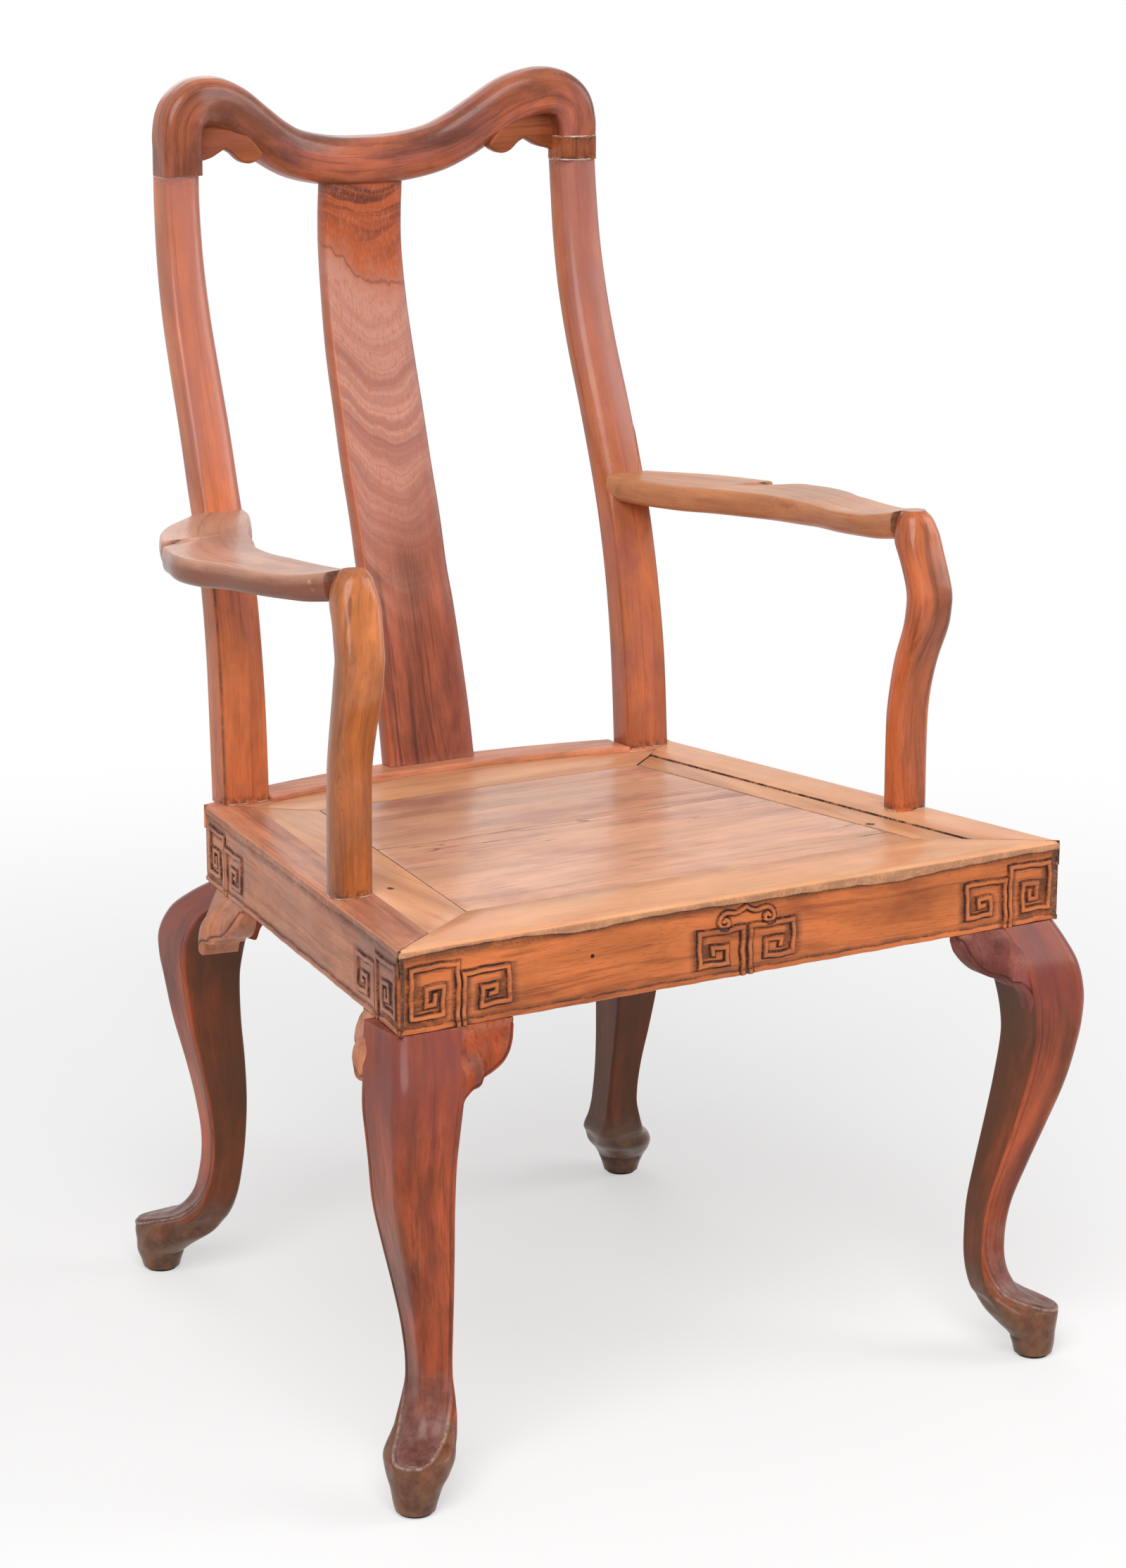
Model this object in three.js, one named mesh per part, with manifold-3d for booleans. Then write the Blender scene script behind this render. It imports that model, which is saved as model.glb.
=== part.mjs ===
// Carved open armchair: yoke crest rail, curved splat, serpentine arms, cabriole legs with spoon feet.
// Millimetres, +Z up. The sitter faces -Y and +X is at the viewer's right from the front.
// The group is placed so that its origin lies on the floor under the middle of the chair's box.

import * as THREE from 'three';
import { mergeVertices } from 'three/addons/utils/BufferGeometryUtils.js';
import Module from 'manifold-3d';

const wasm = await Module();
wasm.setup();

// Fits and running sizes
const fit = 0.3;
const overrun = 10;
const weldDistance = 0.0001;

// Seat frame
const seatHeight = 470;
const seatFrontWidth = 657;
const seatBackWidth = 502;
const seatDepth = 504;
const backRailBow = 42;
const railDepth = 70.5;
const frameThickness = 22;
const apronThickness = 24;
const lipProjection = 2.5;
const frontRailWidth = 73;
const backRailWidth = 40;
const backRailRise = 4;
const sideRailWidthLeft = 41;
const sideRailWidthRight = 57;
const seatBorderWidth = 93;
const backStripDepth = 70;

// Seat panel
const panelDrop = 1;
const boardThickness = 12;
const stripThickness = 18;
const boardSeamFromFront = 210;
const battenWidth = 30;
const battenDepth = 20;
const battenSpacing = 170;

// Legs: the widths are across the square section, the sways are how far the leg's middle swings
const legTopWidth = 58;
const legTopInset = 1;
const frontLegSwayAcross = 16;
const frontLegSwayForward = 25;
const rearLegSwayAcross = 8;
const rearLegSwayBack = 77;
const cornerPostSize = 26;
const footPadThickness = 3;
const footPadRadius = 14;

// Knee brackets
const bracketThickness = 14;
const bracketBulge = 20;
const frontBracketReach = 76;
const frontSideBracketReach = 58;
const rearSideBracketReach = 74;
const backBracketReach = 82;
const bracketDrop = 66;

// Back posts
const postSpacing = 430;
const postWidth = 45.5;
const postThickness = 29;
const postRake = 118;
const postDrawIn = 5.5;
const postBackInset = 1;
const postFrontRadius = 7;
const postEdgeRadius = 3;
const postTenonWidth = 18;
const postTenonThickness = 10;
const postTenonLength = 16;

// Splat
const splatWidth = 90;
const splatThickness = 19;
const splatRake = 124;
const splatBackInset = 1;
const splatEdgeRadius = 3;
const splatTenonWidth = 60;
const splatTenonThickness = 9;
const splatTenonLength = 14;
const splatTopTenonLength = 9;

// Crest rail
const crestHumpHeight = 1115;
const crestValleyBelowHump = 61.5;
const postJointBelowHump = 88;
const crestWidth = 38.5;
const crestBellyWidth = 45;
const crestThickness = 33;
const crestBellyThickness = 39;
const crestBow = 41;
const crestEdgeRadius = 14;
const crestJointRadius = 6;
const repairBlockHeight = 23;

// Carved brackets under the crest's humps
const crestBracketThickness = 12;
const crestBracketReach = 70;
const crestBracketRise = 48;
const crestBracketSetBack = 4;

// Arms
const armHeight = 730;
const armFrontRise = 11;
const armThickness = 25;
const armFrontWidth = 38;
const armWingReach = 41;
const armRearDrawIn = 71;
const armEdgeRadius = 4;
const armUnderRadius = 9;
const armTenonWidth = 16;
const armTenonThickness = 11;
const armTenonLength = 9;
const armRearLap = 3;
const armNotchDepth = 14;
const armNotchLength = 34;

// Arm supports
const supportSpacing = 565;
const supportBehindSeatFront = 164.5;
const supportWidth = 35;
const supportThickness = 25;
const supportSway = 27;
const supportSplay = 4;
const supportHeadAheadOfBase = 1.5;
const supportHeadRise = 2;
const supportEdgeRadius = 6;
const supportTenonWidth = 16;
const supportTenonThickness = 11;
const supportTenonLength = 16;

// Patch let into the right-hand post above the arm
const patchWidth = 6;
const patchHeight = 42;

// Where the beak's notch and the arm's rear end lie, as shares of the arm's own sizes
const armNotchShare = 0.275;
const beakRearShare = 0.12;
const beakTipShare = 0.9;
const beakThroatShare = 0.35;
const armRearRiseShare = 0.18;

// Facets
const padSides = 16;
const cornerTurns = [0, 1 / 3, 2 / 3, 1];
const armSections = 20;
const postSections = 14;
const crestRingsPerStop = 2;
const bowSections = 14;

// Derived places
const seatFront = -seatDepth / 2;
const seatBack = seatDepth / 2;
const apronBottom = seatHeight - railDepth;
const frameUnderside = seatHeight - frameThickness;
const panelTop = seatHeight - panelDrop;
const backRailTop = seatHeight + backRailRise;
const crestValleyHeight = crestHumpHeight - crestValleyBelowHump;
const postJointHeight = crestHumpHeight - postJointBelowHump;

const colours = {
  frame: 0xa8623a,
  strip: 0xc08a54,
  board: 0xb4744a,
  leg: 0x8f4a2c,
  post: 0x98502f,
  crest: 0x7c3a2a,
  splat: 0x8a4634,
  arm: 0x8f5a40,
  support: 0xa8713c,
  batten: 0xa3754d,
  felt: 0x2e2a28,
};

function wood(colour, roughness = 0.42) {
  return new THREE.MeshStandardMaterial({ color: colour, roughness, metalness: 0 });
}

// Solids: a closed geometry goes to a solid for cuts and joins, and comes back as a geometry
function toSolid(geometry) {
  const bare = geometry.clone();
  bare.deleteAttribute('normal');
  bare.deleteAttribute('uv');
  const merged = mergeVertices(bare, weldDistance);
  const triVerts = new Uint32Array(merged.index.array);
  const vertProperties = new Float32Array(merged.attributes.position.array);
  return new wasm.Manifold(new wasm.Mesh({ numProp: 3, vertProperties, triVerts }));
}

function toGeometry(solid) {
  const mesh = solid.getMesh();
  const geometry = new THREE.BufferGeometry();
  geometry.setAttribute('position', new THREE.BufferAttribute(mesh.vertProperties, mesh.numProp));
  geometry.setIndex(new THREE.BufferAttribute(mesh.triVerts, 1));
  return geometry;
}

function join(...geometries) {
  return toGeometry(geometries.map(toSolid).reduce((sum, solid) => sum.add(solid)));
}

function cut(geometry, ...tools) {
  return toGeometry(tools.map(toSolid).reduce((rest, tool) => rest.subtract(tool), toSolid(geometry)));
}

function overlap(geometry, tool) {
  return toGeometry(toSolid(geometry).intersect(toSolid(tool)));
}

// A box from its lowest to its highest corner
function boxBetween(low, high) {
  const size = high.map((value, axis) => value - low[axis]);
  const box = new THREE.BoxGeometry(...size);
  box.translate(...low.map((value, axis) => (value + high[axis]) / 2));
  return box;
}

// A block centred on x and y, between two heights
function block(x, y, width, depth, bottom, top) {
  return boxBetween([x - width / 2, y - depth / 2, bottom], [x + width / 2, y + depth / 2, top]);
}

function volumeOf(points, faces) {
  let sum = 0;
  for (const [a, b, c] of faces) {
    sum += points[a].dot(points[b].clone().cross(points[c]));
  }
  return sum;
}

// A closed skin over rings that all have the same number of points
function loft(rings) {
  const sides = rings[0].length;
  const points = rings.flat();
  const faces = [];
  for (let row = 0; row < rings.length - 1; row += 1) {
    for (let side = 0; side < sides; side += 1) {
      const next = (side + 1) % sides;
      const low = row * sides;
      const high = low + sides;
      faces.push([low + side, low + next, high + next]);
      faces.push([low + side, high + next, high + side]);
    }
  }
  for (const row of [0, rings.length - 1]) {
    const middle = new THREE.Vector3();
    rings[row].forEach((point) => middle.addScaledVector(point, 1 / sides));
    points.push(middle);
    const hub = points.length - 1;
    for (let side = 0; side < sides; side += 1) {
      const here = row * sides + side;
      const next = row * sides + ((side + 1) % sides);
      faces.push(row === 0 ? [next, here, hub] : [here, next, hub]);
    }
  }
  if (volumeOf(points, faces) < 0) {
    faces.forEach((face) => face.reverse());
  }
  const geometry = new THREE.BufferGeometry();
  const positions = points.flatMap((point) => point.toArray());
  geometry.setAttribute('position', new THREE.Float32BufferAttribute(positions, 3));
  geometry.setIndex(faces.flat());
  return geometry;
}

// A flat outline in X and Y, raised between two heights
function slab(outline, bottom, top) {
  const shape = new THREE.Shape(outline.map(([x, y]) => new THREE.Vector2(x, y)));
  const geometry = new THREE.ExtrudeGeometry(shape, { depth: top - bottom, bevelEnabled: false });
  geometry.translate(0, 0, bottom);
  return geometry;
}

// A flat outline in X and Z, thickened along +Y from a front face
function plate(outline, front, thickness) {
  const shape = new THREE.Shape(outline.map(([x, z]) => new THREE.Vector2(x, z)));
  const geometry = new THREE.ExtrudeGeometry(shape, { depth: thickness, bevelEnabled: false });
  geometry.rotateX(Math.PI / 2);
  geometry.translate(0, front + thickness, 0);
  return geometry;
}

// Mirrors a geometry in the chair's middle plane
function mirrored(geometry) {
  const copy = geometry.clone();
  copy.scale(-1, 1, 1);
  const index = copy.index ? Array.from(copy.index.array) : [...Array(copy.attributes.position.count).keys()];
  for (let face = 0; face < index.length; face += 3) {
    [index[face], index[face + 1]] = [index[face + 1], index[face]];
  }
  copy.setIndex(index);
  return copy;
}

// A smooth value along a table of [place, value, value, ...] rows
function smoothTable(rows) {
  const ordered = [...rows].sort((a, b) => a[0] - b[0]);
  return (place) => {
    let row = 0;
    while (row < ordered.length - 2 && place > ordered[row + 1][0]) {
      row += 1;
    }
    const before = ordered[Math.max(row - 1, 0)];
    const from = ordered[row];
    const to = ordered[row + 1];
    const after = ordered[Math.min(row + 2, ordered.length - 1)];
    const span = to[0] - from[0];
    const t = (place - from[0]) / span;
    return from.slice(1).map((value, column) => {
      const k = column + 1;
      const slopeFrom = ((to[k] - before[k]) / (to[0] - before[0] || 1)) * span;
      const slopeTo = ((after[k] - from[k]) / (after[0] - from[0] || 1)) * span;
      const a = 2 * t ** 3 - 3 * t ** 2 + 1;
      const b = t ** 3 - 2 * t ** 2 + t;
      const c = -2 * t ** 3 + 3 * t ** 2;
      const d = t ** 3 - t ** 2;
      return a * value + b * slopeFrom + c * to[k] + d * slopeTo;
    });
  };
}

// A level square ring with rounded corners, stretched along a diagonal of the square
function levelRing(x, y, z, width, roundness, stretch, diagonal) {
  const corners = [[1, 1], [-1, 1], [-1, -1], [1, -1]];
  const half = width / 2;
  const radius = half * roundness;
  return corners.flatMap(([signX, signY], quarter) => {
    return cornerTurns.map((turn) => {
      const angle = (quarter + turn) * (Math.PI / 2);
      const px = signX * (half - radius) + radius * Math.cos(angle);
      const py = signY * (half - radius) + radius * Math.sin(angle);
      const along = (px * diagonal[0] + py * diagonal[1]) * (stretch - 1);
      return new THREE.Vector3(x + px + along * diagonal[0], y + py + along * diagonal[1], z);
    });
  });
}

// A ring with its own corner radius on each long side, in a plane given by two directions
function cornerRing(middle, across, up, width, height, radiusLow, radiusHigh, turns = 3) {
  const ring = [];
  const corners = [
    [1, 1, radiusHigh, 0],
    [-1, 1, radiusHigh, 1],
    [-1, -1, radiusLow, 2],
    [1, -1, radiusLow, 3],
  ];
  for (const [signAcross, signUp, radius, quarter] of corners) {
    for (let turn = 0; turn < turns; turn += 1) {
      const angle = (quarter + turn / (turns - 1)) * (Math.PI / 2);
      const a = signAcross * (width / 2 - radius) + radius * Math.cos(angle);
      const b = signUp * (height / 2 - radius) + radius * Math.sin(angle);
      ring.push(middle.clone().addScaledVector(across, a).addScaledVector(up, b));
    }
  }
  return ring;
}

const alongX = new THREE.Vector3(1, 0, 0);
const alongY = new THREE.Vector3(0, 1, 0);
const alongZ = new THREE.Vector3(0, 0, 1);

// Seat plan: side edges run straight from the wide front to the narrow back
function seatHalfWidth(y) {
  const share = (y - seatFront) / seatDepth;
  return (seatFrontWidth * (1 - share) + seatBackWidth * share) / 2;
}

function backEdge(x) {
  return seatBack + backRailBow * (1 - (x / (seatBackWidth / 2)) ** 2);
}

const railInnerBack = (x) => backEdge(x) - backRailWidth;
const panelFront = seatFront + frontRailWidth;
const stripFrontY = seatBack - backStripDepth;
const boardSeamY = panelFront + boardSeamFromFront;

// Where the mitre from an outer corner meets a line set in from the side edge by a width
function mitrePoint(cornerY, innerX, innerY, inset) {
  let low = 0;
  let high = 1;
  const outerX = seatHalfWidth(cornerY);
  for (let step = 0; step < 40; step += 1) {
    const middle = (low + high) / 2;
    const x = outerX + (innerX - outerX) * middle;
    const y = cornerY + (innerY - cornerY) * middle;
    if (seatHalfWidth(y) - x < inset) {
      low = middle;
    } else {
      high = middle;
    }
  }
  return [outerX + (innerX - outerX) * low, cornerY + (innerY - cornerY) * low];
}

const frontMitreEnd = [seatHalfWidth(panelFront) - seatBorderWidth, panelFront];
const backMitreEnd = [seatHalfWidth(stripFrontY) - seatBorderWidth, stripFrontY];

function frontMitreAt(inset) {
  return mitrePoint(seatFront, ...frontMitreEnd, inset);
}

function backMitreAt(inset) {
  return mitrePoint(seatBack, ...backMitreEnd, inset);
}

// Draws a plan outline in by half a fit where it meets its neighbours
function shrunk(outline, amount) {
  const count = outline.length;
  const area = outline.reduce((sum, [x, y], i) => {
    const [nx, ny] = outline[(i + 1) % count];
    return sum + x * ny - nx * y;
  }, 0);
  const side = Math.sign(area) * amount;
  return outline.map((point, i) => {
    const before = outline[(i + count - 1) % count];
    const after = outline[(i + 1) % count];
    const inward = [before, point, after].slice(0, 2).map((start, k) => {
      const end = [point, after][k];
      const length = Math.hypot(end[0] - start[0], end[1] - start[1]);
      return [-(end[1] - start[1]) / length, (end[0] - start[0]) / length];
    });
    const share = 1 + inward[0][0] * inward[1][0] + inward[0][1] * inward[1][1];
    const x = point[0] + (side * (inward[0][0] + inward[1][0])) / share;
    const y = point[1] + (side * (inward[0][1] + inward[1][1])) / share;
    return [x, y];
  });
}

function bowLine(edge, fromX, toX) {
  const points = [];
  for (let step = 0; step <= bowSections; step += 1) {
    const x = fromX + ((toX - fromX) * step) / bowSections;
    points.push([x, edge(x)]);
  }
  return points;
}

// Plan outlines of the seat frame, each drawn to its nominal joints
function frontRailOutline() {
  const corner = seatHalfWidth(seatFront);
  const [x, y] = frontMitreEnd;
  return [[-corner, seatFront], [corner, seatFront], [x, y], [-x, y]];
}

function sideRailOutline(width) {
  const corner = seatHalfWidth(seatFront);
  const backCorner = seatHalfWidth(seatBack);
  return [[corner, seatFront], [backCorner, seatBack], backMitreAt(width), frontMitreAt(width)];
}

function sideStripOutline(width) {
  return [frontMitreAt(width), backMitreAt(width), backMitreEnd, frontMitreEnd];
}

function backRailOutline() {
  const corner = seatHalfWidth(seatBack);
  const innerX = backMitreCrossing();
  const outer = bowLine(backEdge, corner, -corner);
  const inner = bowLine(railInnerBack, -innerX, innerX);
  return [...outer, ...inner];
}

// The place on the back mitre where the back rail's inner edge starts
function backMitreCrossing() {
  const corner = seatHalfWidth(seatBack);
  let low = 0;
  let high = 1;
  for (let step = 0; step < 40; step += 1) {
    const middle = (low + high) / 2;
    const x = corner + (backMitreEnd[0] - corner) * middle;
    const y = seatBack + (backMitreEnd[1] - seatBack) * middle;
    if (y > railInnerBack(x)) {
      low = middle;
    } else {
      high = middle;
    }
  }
  return corner + (backMitreEnd[0] - corner) * low;
}

function backStripOutline() {
  const innerX = backMitreCrossing();
  const inner = bowLine(railInnerBack, -innerX, innerX);
  return [...inner, backMitreEnd, [-backMitreEnd[0], backMitreEnd[1]]];
}

// The aprons form one ring under the frame, set back from its edge by the lip
function seatOutline() {
  const corner = seatHalfWidth(seatFront);
  const backCorner = seatHalfWidth(seatBack);
  return [[-corner, seatFront], [corner, seatFront], ...bowLine(backEdge, backCorner, -backCorner)];
}

function apronRing() {
  const outer = slab(shrunk(seatOutline(), lipProjection), apronBottom, frameUnderside);
  const innerOutline = shrunk(seatOutline(), lipProjection + apronThickness);
  return cut(outer, slab(innerOutline, apronBottom - overrun, frameUnderside + overrun));
}

// A rail is its length of frame together with the length of apron under it
function rail(frameOutline) {
  const outline = shrunk(frameOutline, fit / 2);
  const frame = slab(outline, frameUnderside, seatHeight);
  const apron = overlap(apronRing(), slab(outline, apronBottom, frameUnderside));
  return join(frame, apron);
}

// Legs: shares of the leg's height, of its sways and of its top width
// Rows: height, across, along, width, roundness of the corners, stretch along the diagonal
const frontLegShares = [
  [1.0, 0.0, 0.0, 1.0, 0.08, 1.0],
  [0.96, 0.35, -0.42, 1.03, 0.1, 1.0],
  [0.91, 0.7, -0.85, 1.05, 0.12, 1.0],
  [0.845, 1.0, -1.05, 1.02, 0.14, 1.0],
  [0.79, 1.07, -1.11, 0.96, 0.14, 1.0],
  [0.74, 1.04, -1.07, 0.91, 0.14, 1.0],
  [0.64, 0.76, -0.81, 0.85, 0.14, 1.0],
  [0.54, 0.25, -0.51, 0.75, 0.14, 1.0],
  [0.44, -0.31, -0.18, 0.64, 0.15, 1.0],
  [0.34, -0.79, 0.13, 0.54, 0.16, 1.0],
  [0.25, -0.95, 0.22, 0.5, 0.22, 1.0],
  [0.193, -0.85, 0.16, 0.6, 0.4, 0.92],
  [0.143, -0.55, -0.02, 0.77, 0.6, 0.88],
  [0.118, -0.18, -0.28, 0.87, 0.7, 0.93],
  [0.093, 0.24, -0.58, 0.95, 0.8, 1.02],
  [0.067, 0.66, -0.9, 0.92, 0.9, 1.07],
  [0.042, 0.9, -1.04, 0.79, 1.0, 1.03],
  [0.017, 1.0, -1.06, 0.66, 1.0, 1.05],
  [0.0, 1.0, -1.06, 0.62, 1.0, 1.05],
];

const rearLegShares = [
  [1.0, 0.0, 0.0, 1.0, 0.08, 1.0],
  [0.96, 0.5, 0.4, 1.02, 0.1, 1.0],
  [0.91, 1.05, 0.77, 1.08, 0.12, 1.0],
  [0.845, 1.45, 0.985, 1.12, 0.14, 1.0],
  [0.79, 1.6, 1.03, 1.06, 0.14, 1.0],
  [0.74, 1.55, 1.03, 0.98, 0.14, 1.0],
  [0.64, 1.25, 0.975, 0.885, 0.14, 1.0],
  [0.54, 0.7, 0.89, 0.78, 0.14, 1.0],
  [0.44, 0.08, 0.87, 0.675, 0.15, 1.0],
  [0.34, -0.35, 0.91, 0.58, 0.16, 1.0],
  [0.25, -0.28, 1.0, 0.57, 0.22, 1.0],
  [0.193, 0.2, 1.09, 0.66, 0.3, 0.97],
  [0.143, 1.2, 1.27, 0.84, 0.5, 1.03],
  [0.118, 2.7, 1.45, 0.92, 0.62, 1.32],
  [0.093, 3.4, 1.49, 1.0, 0.8, 1.2],
  [0.067, 4.1, 1.55, 0.94, 0.9, 1.05],
  [0.042, 4.5, 1.62, 0.81, 1.0, 0.96],
  [0.017, 4.5, 1.63, 0.67, 1.0, 1.0],
  [0.0, 4.5, 1.63, 0.63, 1.0, 1.0],
];

const kneeShare = 0.7;
const ankleShare = 0.25;
const legHeight = apronBottom - fit;
const sideSlant = Math.hypot(seatDepth, (seatFrontWidth - seatBackWidth) / 2) / seatDepth;

const frontLegPlace = {
  shares: frontLegShares,
  x: seatHalfWidth(seatFront) - legTopInset - legTopWidth / 2,
  y: seatFront + legTopInset + legTopWidth / 2,
  across: frontLegSwayAcross,
  along: frontLegSwayForward,
  diagonal: [Math.SQRT1_2, -Math.SQRT1_2],
  railFace: seatFront,
  outward: -1,
};

const rearLegPlace = {
  shares: rearLegShares,
  x: seatHalfWidth(seatBack) - legTopInset - legTopWidth / 2,
  y: seatBack - legTopInset - legTopWidth / 2,
  across: rearLegSwayAcross,
  along: rearLegSwayBack,
  diagonal: [Math.SQRT1_2, Math.SQRT1_2],
  railFace: seatBack,
  outward: 1,
};

function legLoft(place, extra = 0) {
  const table = smoothTable(place.shares);
  const heights = place.shares.flatMap(([share], row, rows) => {
    const next = row < rows.length - 1 ? [(share + rows[row + 1][0]) / 2] : [];
    return share > kneeShare || share < ankleShare ? [share, ...next] : [share];
  });
  const rings = heights.map((height) => {
    const [across, along, width, roundness, stretch] = table(height);
    const x = place.x + across * place.across;
    const y = place.y + along * place.along;
    const z = footPadThickness + height * (legHeight - footPadThickness);
    return levelRing(x, y, z, width * legTopWidth + 2 * extra, roundness, stretch, place.diagonal);
  });
  return loft(rings);
}

// The leg's square post stands in the inner corner of the aprons
function cornerPostPlace(place) {
  const inset = lipProjection + apronThickness + fit;
  const y = place.railFace - place.outward * (inset + cornerPostSize / 2);
  const edge = seatHalfWidth(y + cornerPostSize / 2);
  return [edge - inset * sideSlant - cornerPostSize / 2, y];
}

function leg(place) {
  const [x, y] = cornerPostPlace(place);
  const post = block(x, y, cornerPostSize, cornerPostSize, apronBottom - overrun, frameUnderside - fit);
  return join(legLoft(place), post);
}

function footPad(place) {
  const [across, along] = smoothTable(place.shares)(0);
  const pad = new THREE.CylinderGeometry(footPadRadius, footPadRadius, footPadThickness - fit, padSides);
  pad.rotateX(Math.PI / 2);
  pad.translate(place.x + across * place.across, place.y + along * place.along, (footPadThickness - fit) / 2);
  return pad;
}

// Knee brackets: lobes beside each leg under the rails, swelling out to meet the knee
// Rows: share of the reach from the leg's middle, of the drop below the rail, of the bulge
const bracketShares = [
  [0.0, 0.8, 0.6],
  [0.2, 0.95, 1.0],
  [0.27, 0.78, 1.0],
  [0.36, 0.72, 0.95],
  [0.47, 0.7, 0.82],
  [0.52, 0.63, 0.72],
  [0.66, 0.58, 0.62],
  [0.79, 0.5, 0.58],
  [0.88, 0.4, 0.46],
  [0.95, 0.27, 0.25],
  [1.0, 0.12, 0.0],
];

// Rows across a bracket: share of its depth behind the face, of its own drop, of its own bulge
const bracketSectionShares = [
  [1.0, 0.0, 0.0],
  [1.0, 1.0, 0.0],
  [0.2, 1.0, 0.75],
  [0.0, 0.85, 1.0],
  [0.0, 0.55, 0.9],
  [0.0, 0.28, 0.5],
  [0.0, 0.0, 0.0],
];

// A bracket starts at the leg's middle, on the apron's face, and runs the way of the rail
function kneeBracket(legPlace, start, direction, outward, reach) {
  const top = apronBottom - fit;
  const rings = bracketShares.map(([along, drop, bulge]) => {
    return bracketSectionShares.map(([behind, down, out]) => {
      const point = start.clone().addScaledVector(direction, along * reach);
      point.addScaledVector(outward, bulge * out * bracketBulge - behind * bracketThickness);
      return point.setZ(top - down * drop * bracketDrop);
    });
  });
  return cut(loft(rings), legLoft(legPlace, fit));
}

const sideDirection = new THREE.Vector3((seatBackWidth - seatFrontWidth) / 2, seatDepth, 0).normalize();
const sideOutward = new THREE.Vector3(sideDirection.y, -sideDirection.x, 0);

function sideFacePoint(y) {
  return new THREE.Vector3(seatHalfWidth(y), y, 0).addScaledVector(sideOutward, -lipProjection);
}

function frontBracket() {
  const start = new THREE.Vector3(frontLegPlace.x, seatFront + lipProjection, 0);
  return kneeBracket(frontLegPlace, start, alongX.clone().negate(), alongY.clone().negate(), frontBracketReach);
}

function frontSideBracket() {
  const start = sideFacePoint(frontLegPlace.y);
  return kneeBracket(frontLegPlace, start, sideDirection, sideOutward, frontSideBracketReach);
}

function rearSideBracket() {
  const start = sideFacePoint(rearLegPlace.y);
  return kneeBracket(rearLegPlace, start, sideDirection.clone().negate(), sideOutward, rearSideBracketReach);
}

function backBracket() {
  const endX = rearLegPlace.x - backBracketReach;
  const start = new THREE.Vector3(rearLegPlace.x, backEdge(rearLegPlace.x), 0);
  const direction = new THREE.Vector3(endX, backEdge(endX), 0).sub(start).normalize();
  const outward = new THREE.Vector3(-direction.y, direction.x, 0).negate();
  start.addScaledVector(outward, -lipProjection);
  return kneeBracket(rearLegPlace, start, direction, outward, backBracketReach);
}

// Back posts: shares of the height, the draw-in, the rake and the base width
const postShares = [
  [0.0, 0.0, 0.0, 1.0],
  [0.144, 0.07, 0.04, 1.0],
  [0.233, 0.18, 0.085, 0.98],
  [0.323, 0.29, 0.155, 0.965],
  [0.413, 0.35, 0.257, 0.957],
  [0.503, 0.4, 0.395, 0.95],
  [0.592, 0.58, 0.54, 0.94],
  [0.682, 0.73, 0.702, 0.925],
  [0.772, 0.76, 0.842, 0.9],
  [0.862, 0.8, 0.937, 0.865],
  [0.951, 0.88, 0.986, 0.84],
  [1.0, 1.0, 1.0, 0.837],
];

const postX = postSpacing / 2;
const postBaseY = backEdge(postX) - postThickness / 2 - postBackInset;
const postTopX = postX - postDrawIn;
const postTopY = postBaseY + postRake;
const postTable = smoothTable(postShares);

function postAt(height) {
  const share = (height - seatHeight) / (postJointHeight - seatHeight);
  const [drawIn, rake, width] = postTable(share);
  return { x: postX - drawIn * postDrawIn, y: postBaseY + rake * postRake, width: width * postWidth };
}

function postLoft(extra = 0) {
  const rings = [];
  const bottom = seatHeight + fit;
  const top = postJointHeight - fit / 2;
  for (let step = 0; step <= postSections; step += 1) {
    const height = bottom + ((top - bottom) * step) / postSections;
    const { x, y, width } = postAt(height);
    const middle = new THREE.Vector3(x, y, height);
    const front = height > armHeight ? postFrontRadius : postEdgeRadius;
    const wide = width + 2 * extra;
    const deep = postThickness + 2 * extra;
    rings.push(cornerRing(middle, alongX, alongY, wide, deep, front, postEdgeRadius));
  }
  return loft(rings);
}

function postFootTenon(extra = 0) {
  const wide = postTenonWidth + 2 * extra;
  const deep = postTenonThickness + 2 * extra;
  return block(postX, postBaseY, wide, deep, seatHeight - postTenonLength - extra, seatHeight + overrun);
}

function postHeadTenon(extra = 0) {
  const wide = postTenonWidth + 2 * extra;
  const deep = postTenonThickness + 2 * extra;
  const top = postJointHeight + postTenonLength + extra;
  return block(postTopX, postTopY, wide, deep, postJointHeight - overrun, top);
}

// Arms: shares of the length from the post, of the wing's reach, of the draw-in, of the front
// rise and of the thickness
const armShares = [
  [0.0, -1.4, -1.0, 0.18, 1.0],
  [0.044, -0.95, -0.95, 0.1, 1.0],
  [0.1, -0.37, -0.83, 0.0, 1.0],
  [0.155, 0.02, -0.7, -0.08, 1.0],
  [0.21, 0.27, -0.56, -0.13, 1.0],
  [0.265, 0.46, -0.39, -0.12, 1.0],
  [0.32, 0.68, -0.28, -0.08, 1.0],
  [0.376, 0.83, -0.17, -0.06, 1.0],
  [0.459, 1.0, 0.0, -0.05, 1.0],
  [0.541, 0.95, 0.06, -0.03, 0.98],
  [0.597, 0.8, 0.06, 0.0, 0.95],
  [0.652, 0.7, 0.04, 0.06, 0.92],
  [0.762, 0.56, -0.03, 0.09, 0.87],
  [0.873, 0.37, -0.05, 0.3, 0.88],
  [0.928, 0.24, -0.04, 0.55, 0.94],
  [1.0, 0.0, 0.0, 1.0, 1.0],
];

const supportX = supportSpacing / 2;
const supportY = seatFront + supportBehindSeatFront;
const armFrontY = supportY + supportHeadAheadOfBase;
const armRearY = postAt(armHeight).y - postThickness / 2 + armRearLap;
const armTable = smoothTable(armShares);

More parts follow.
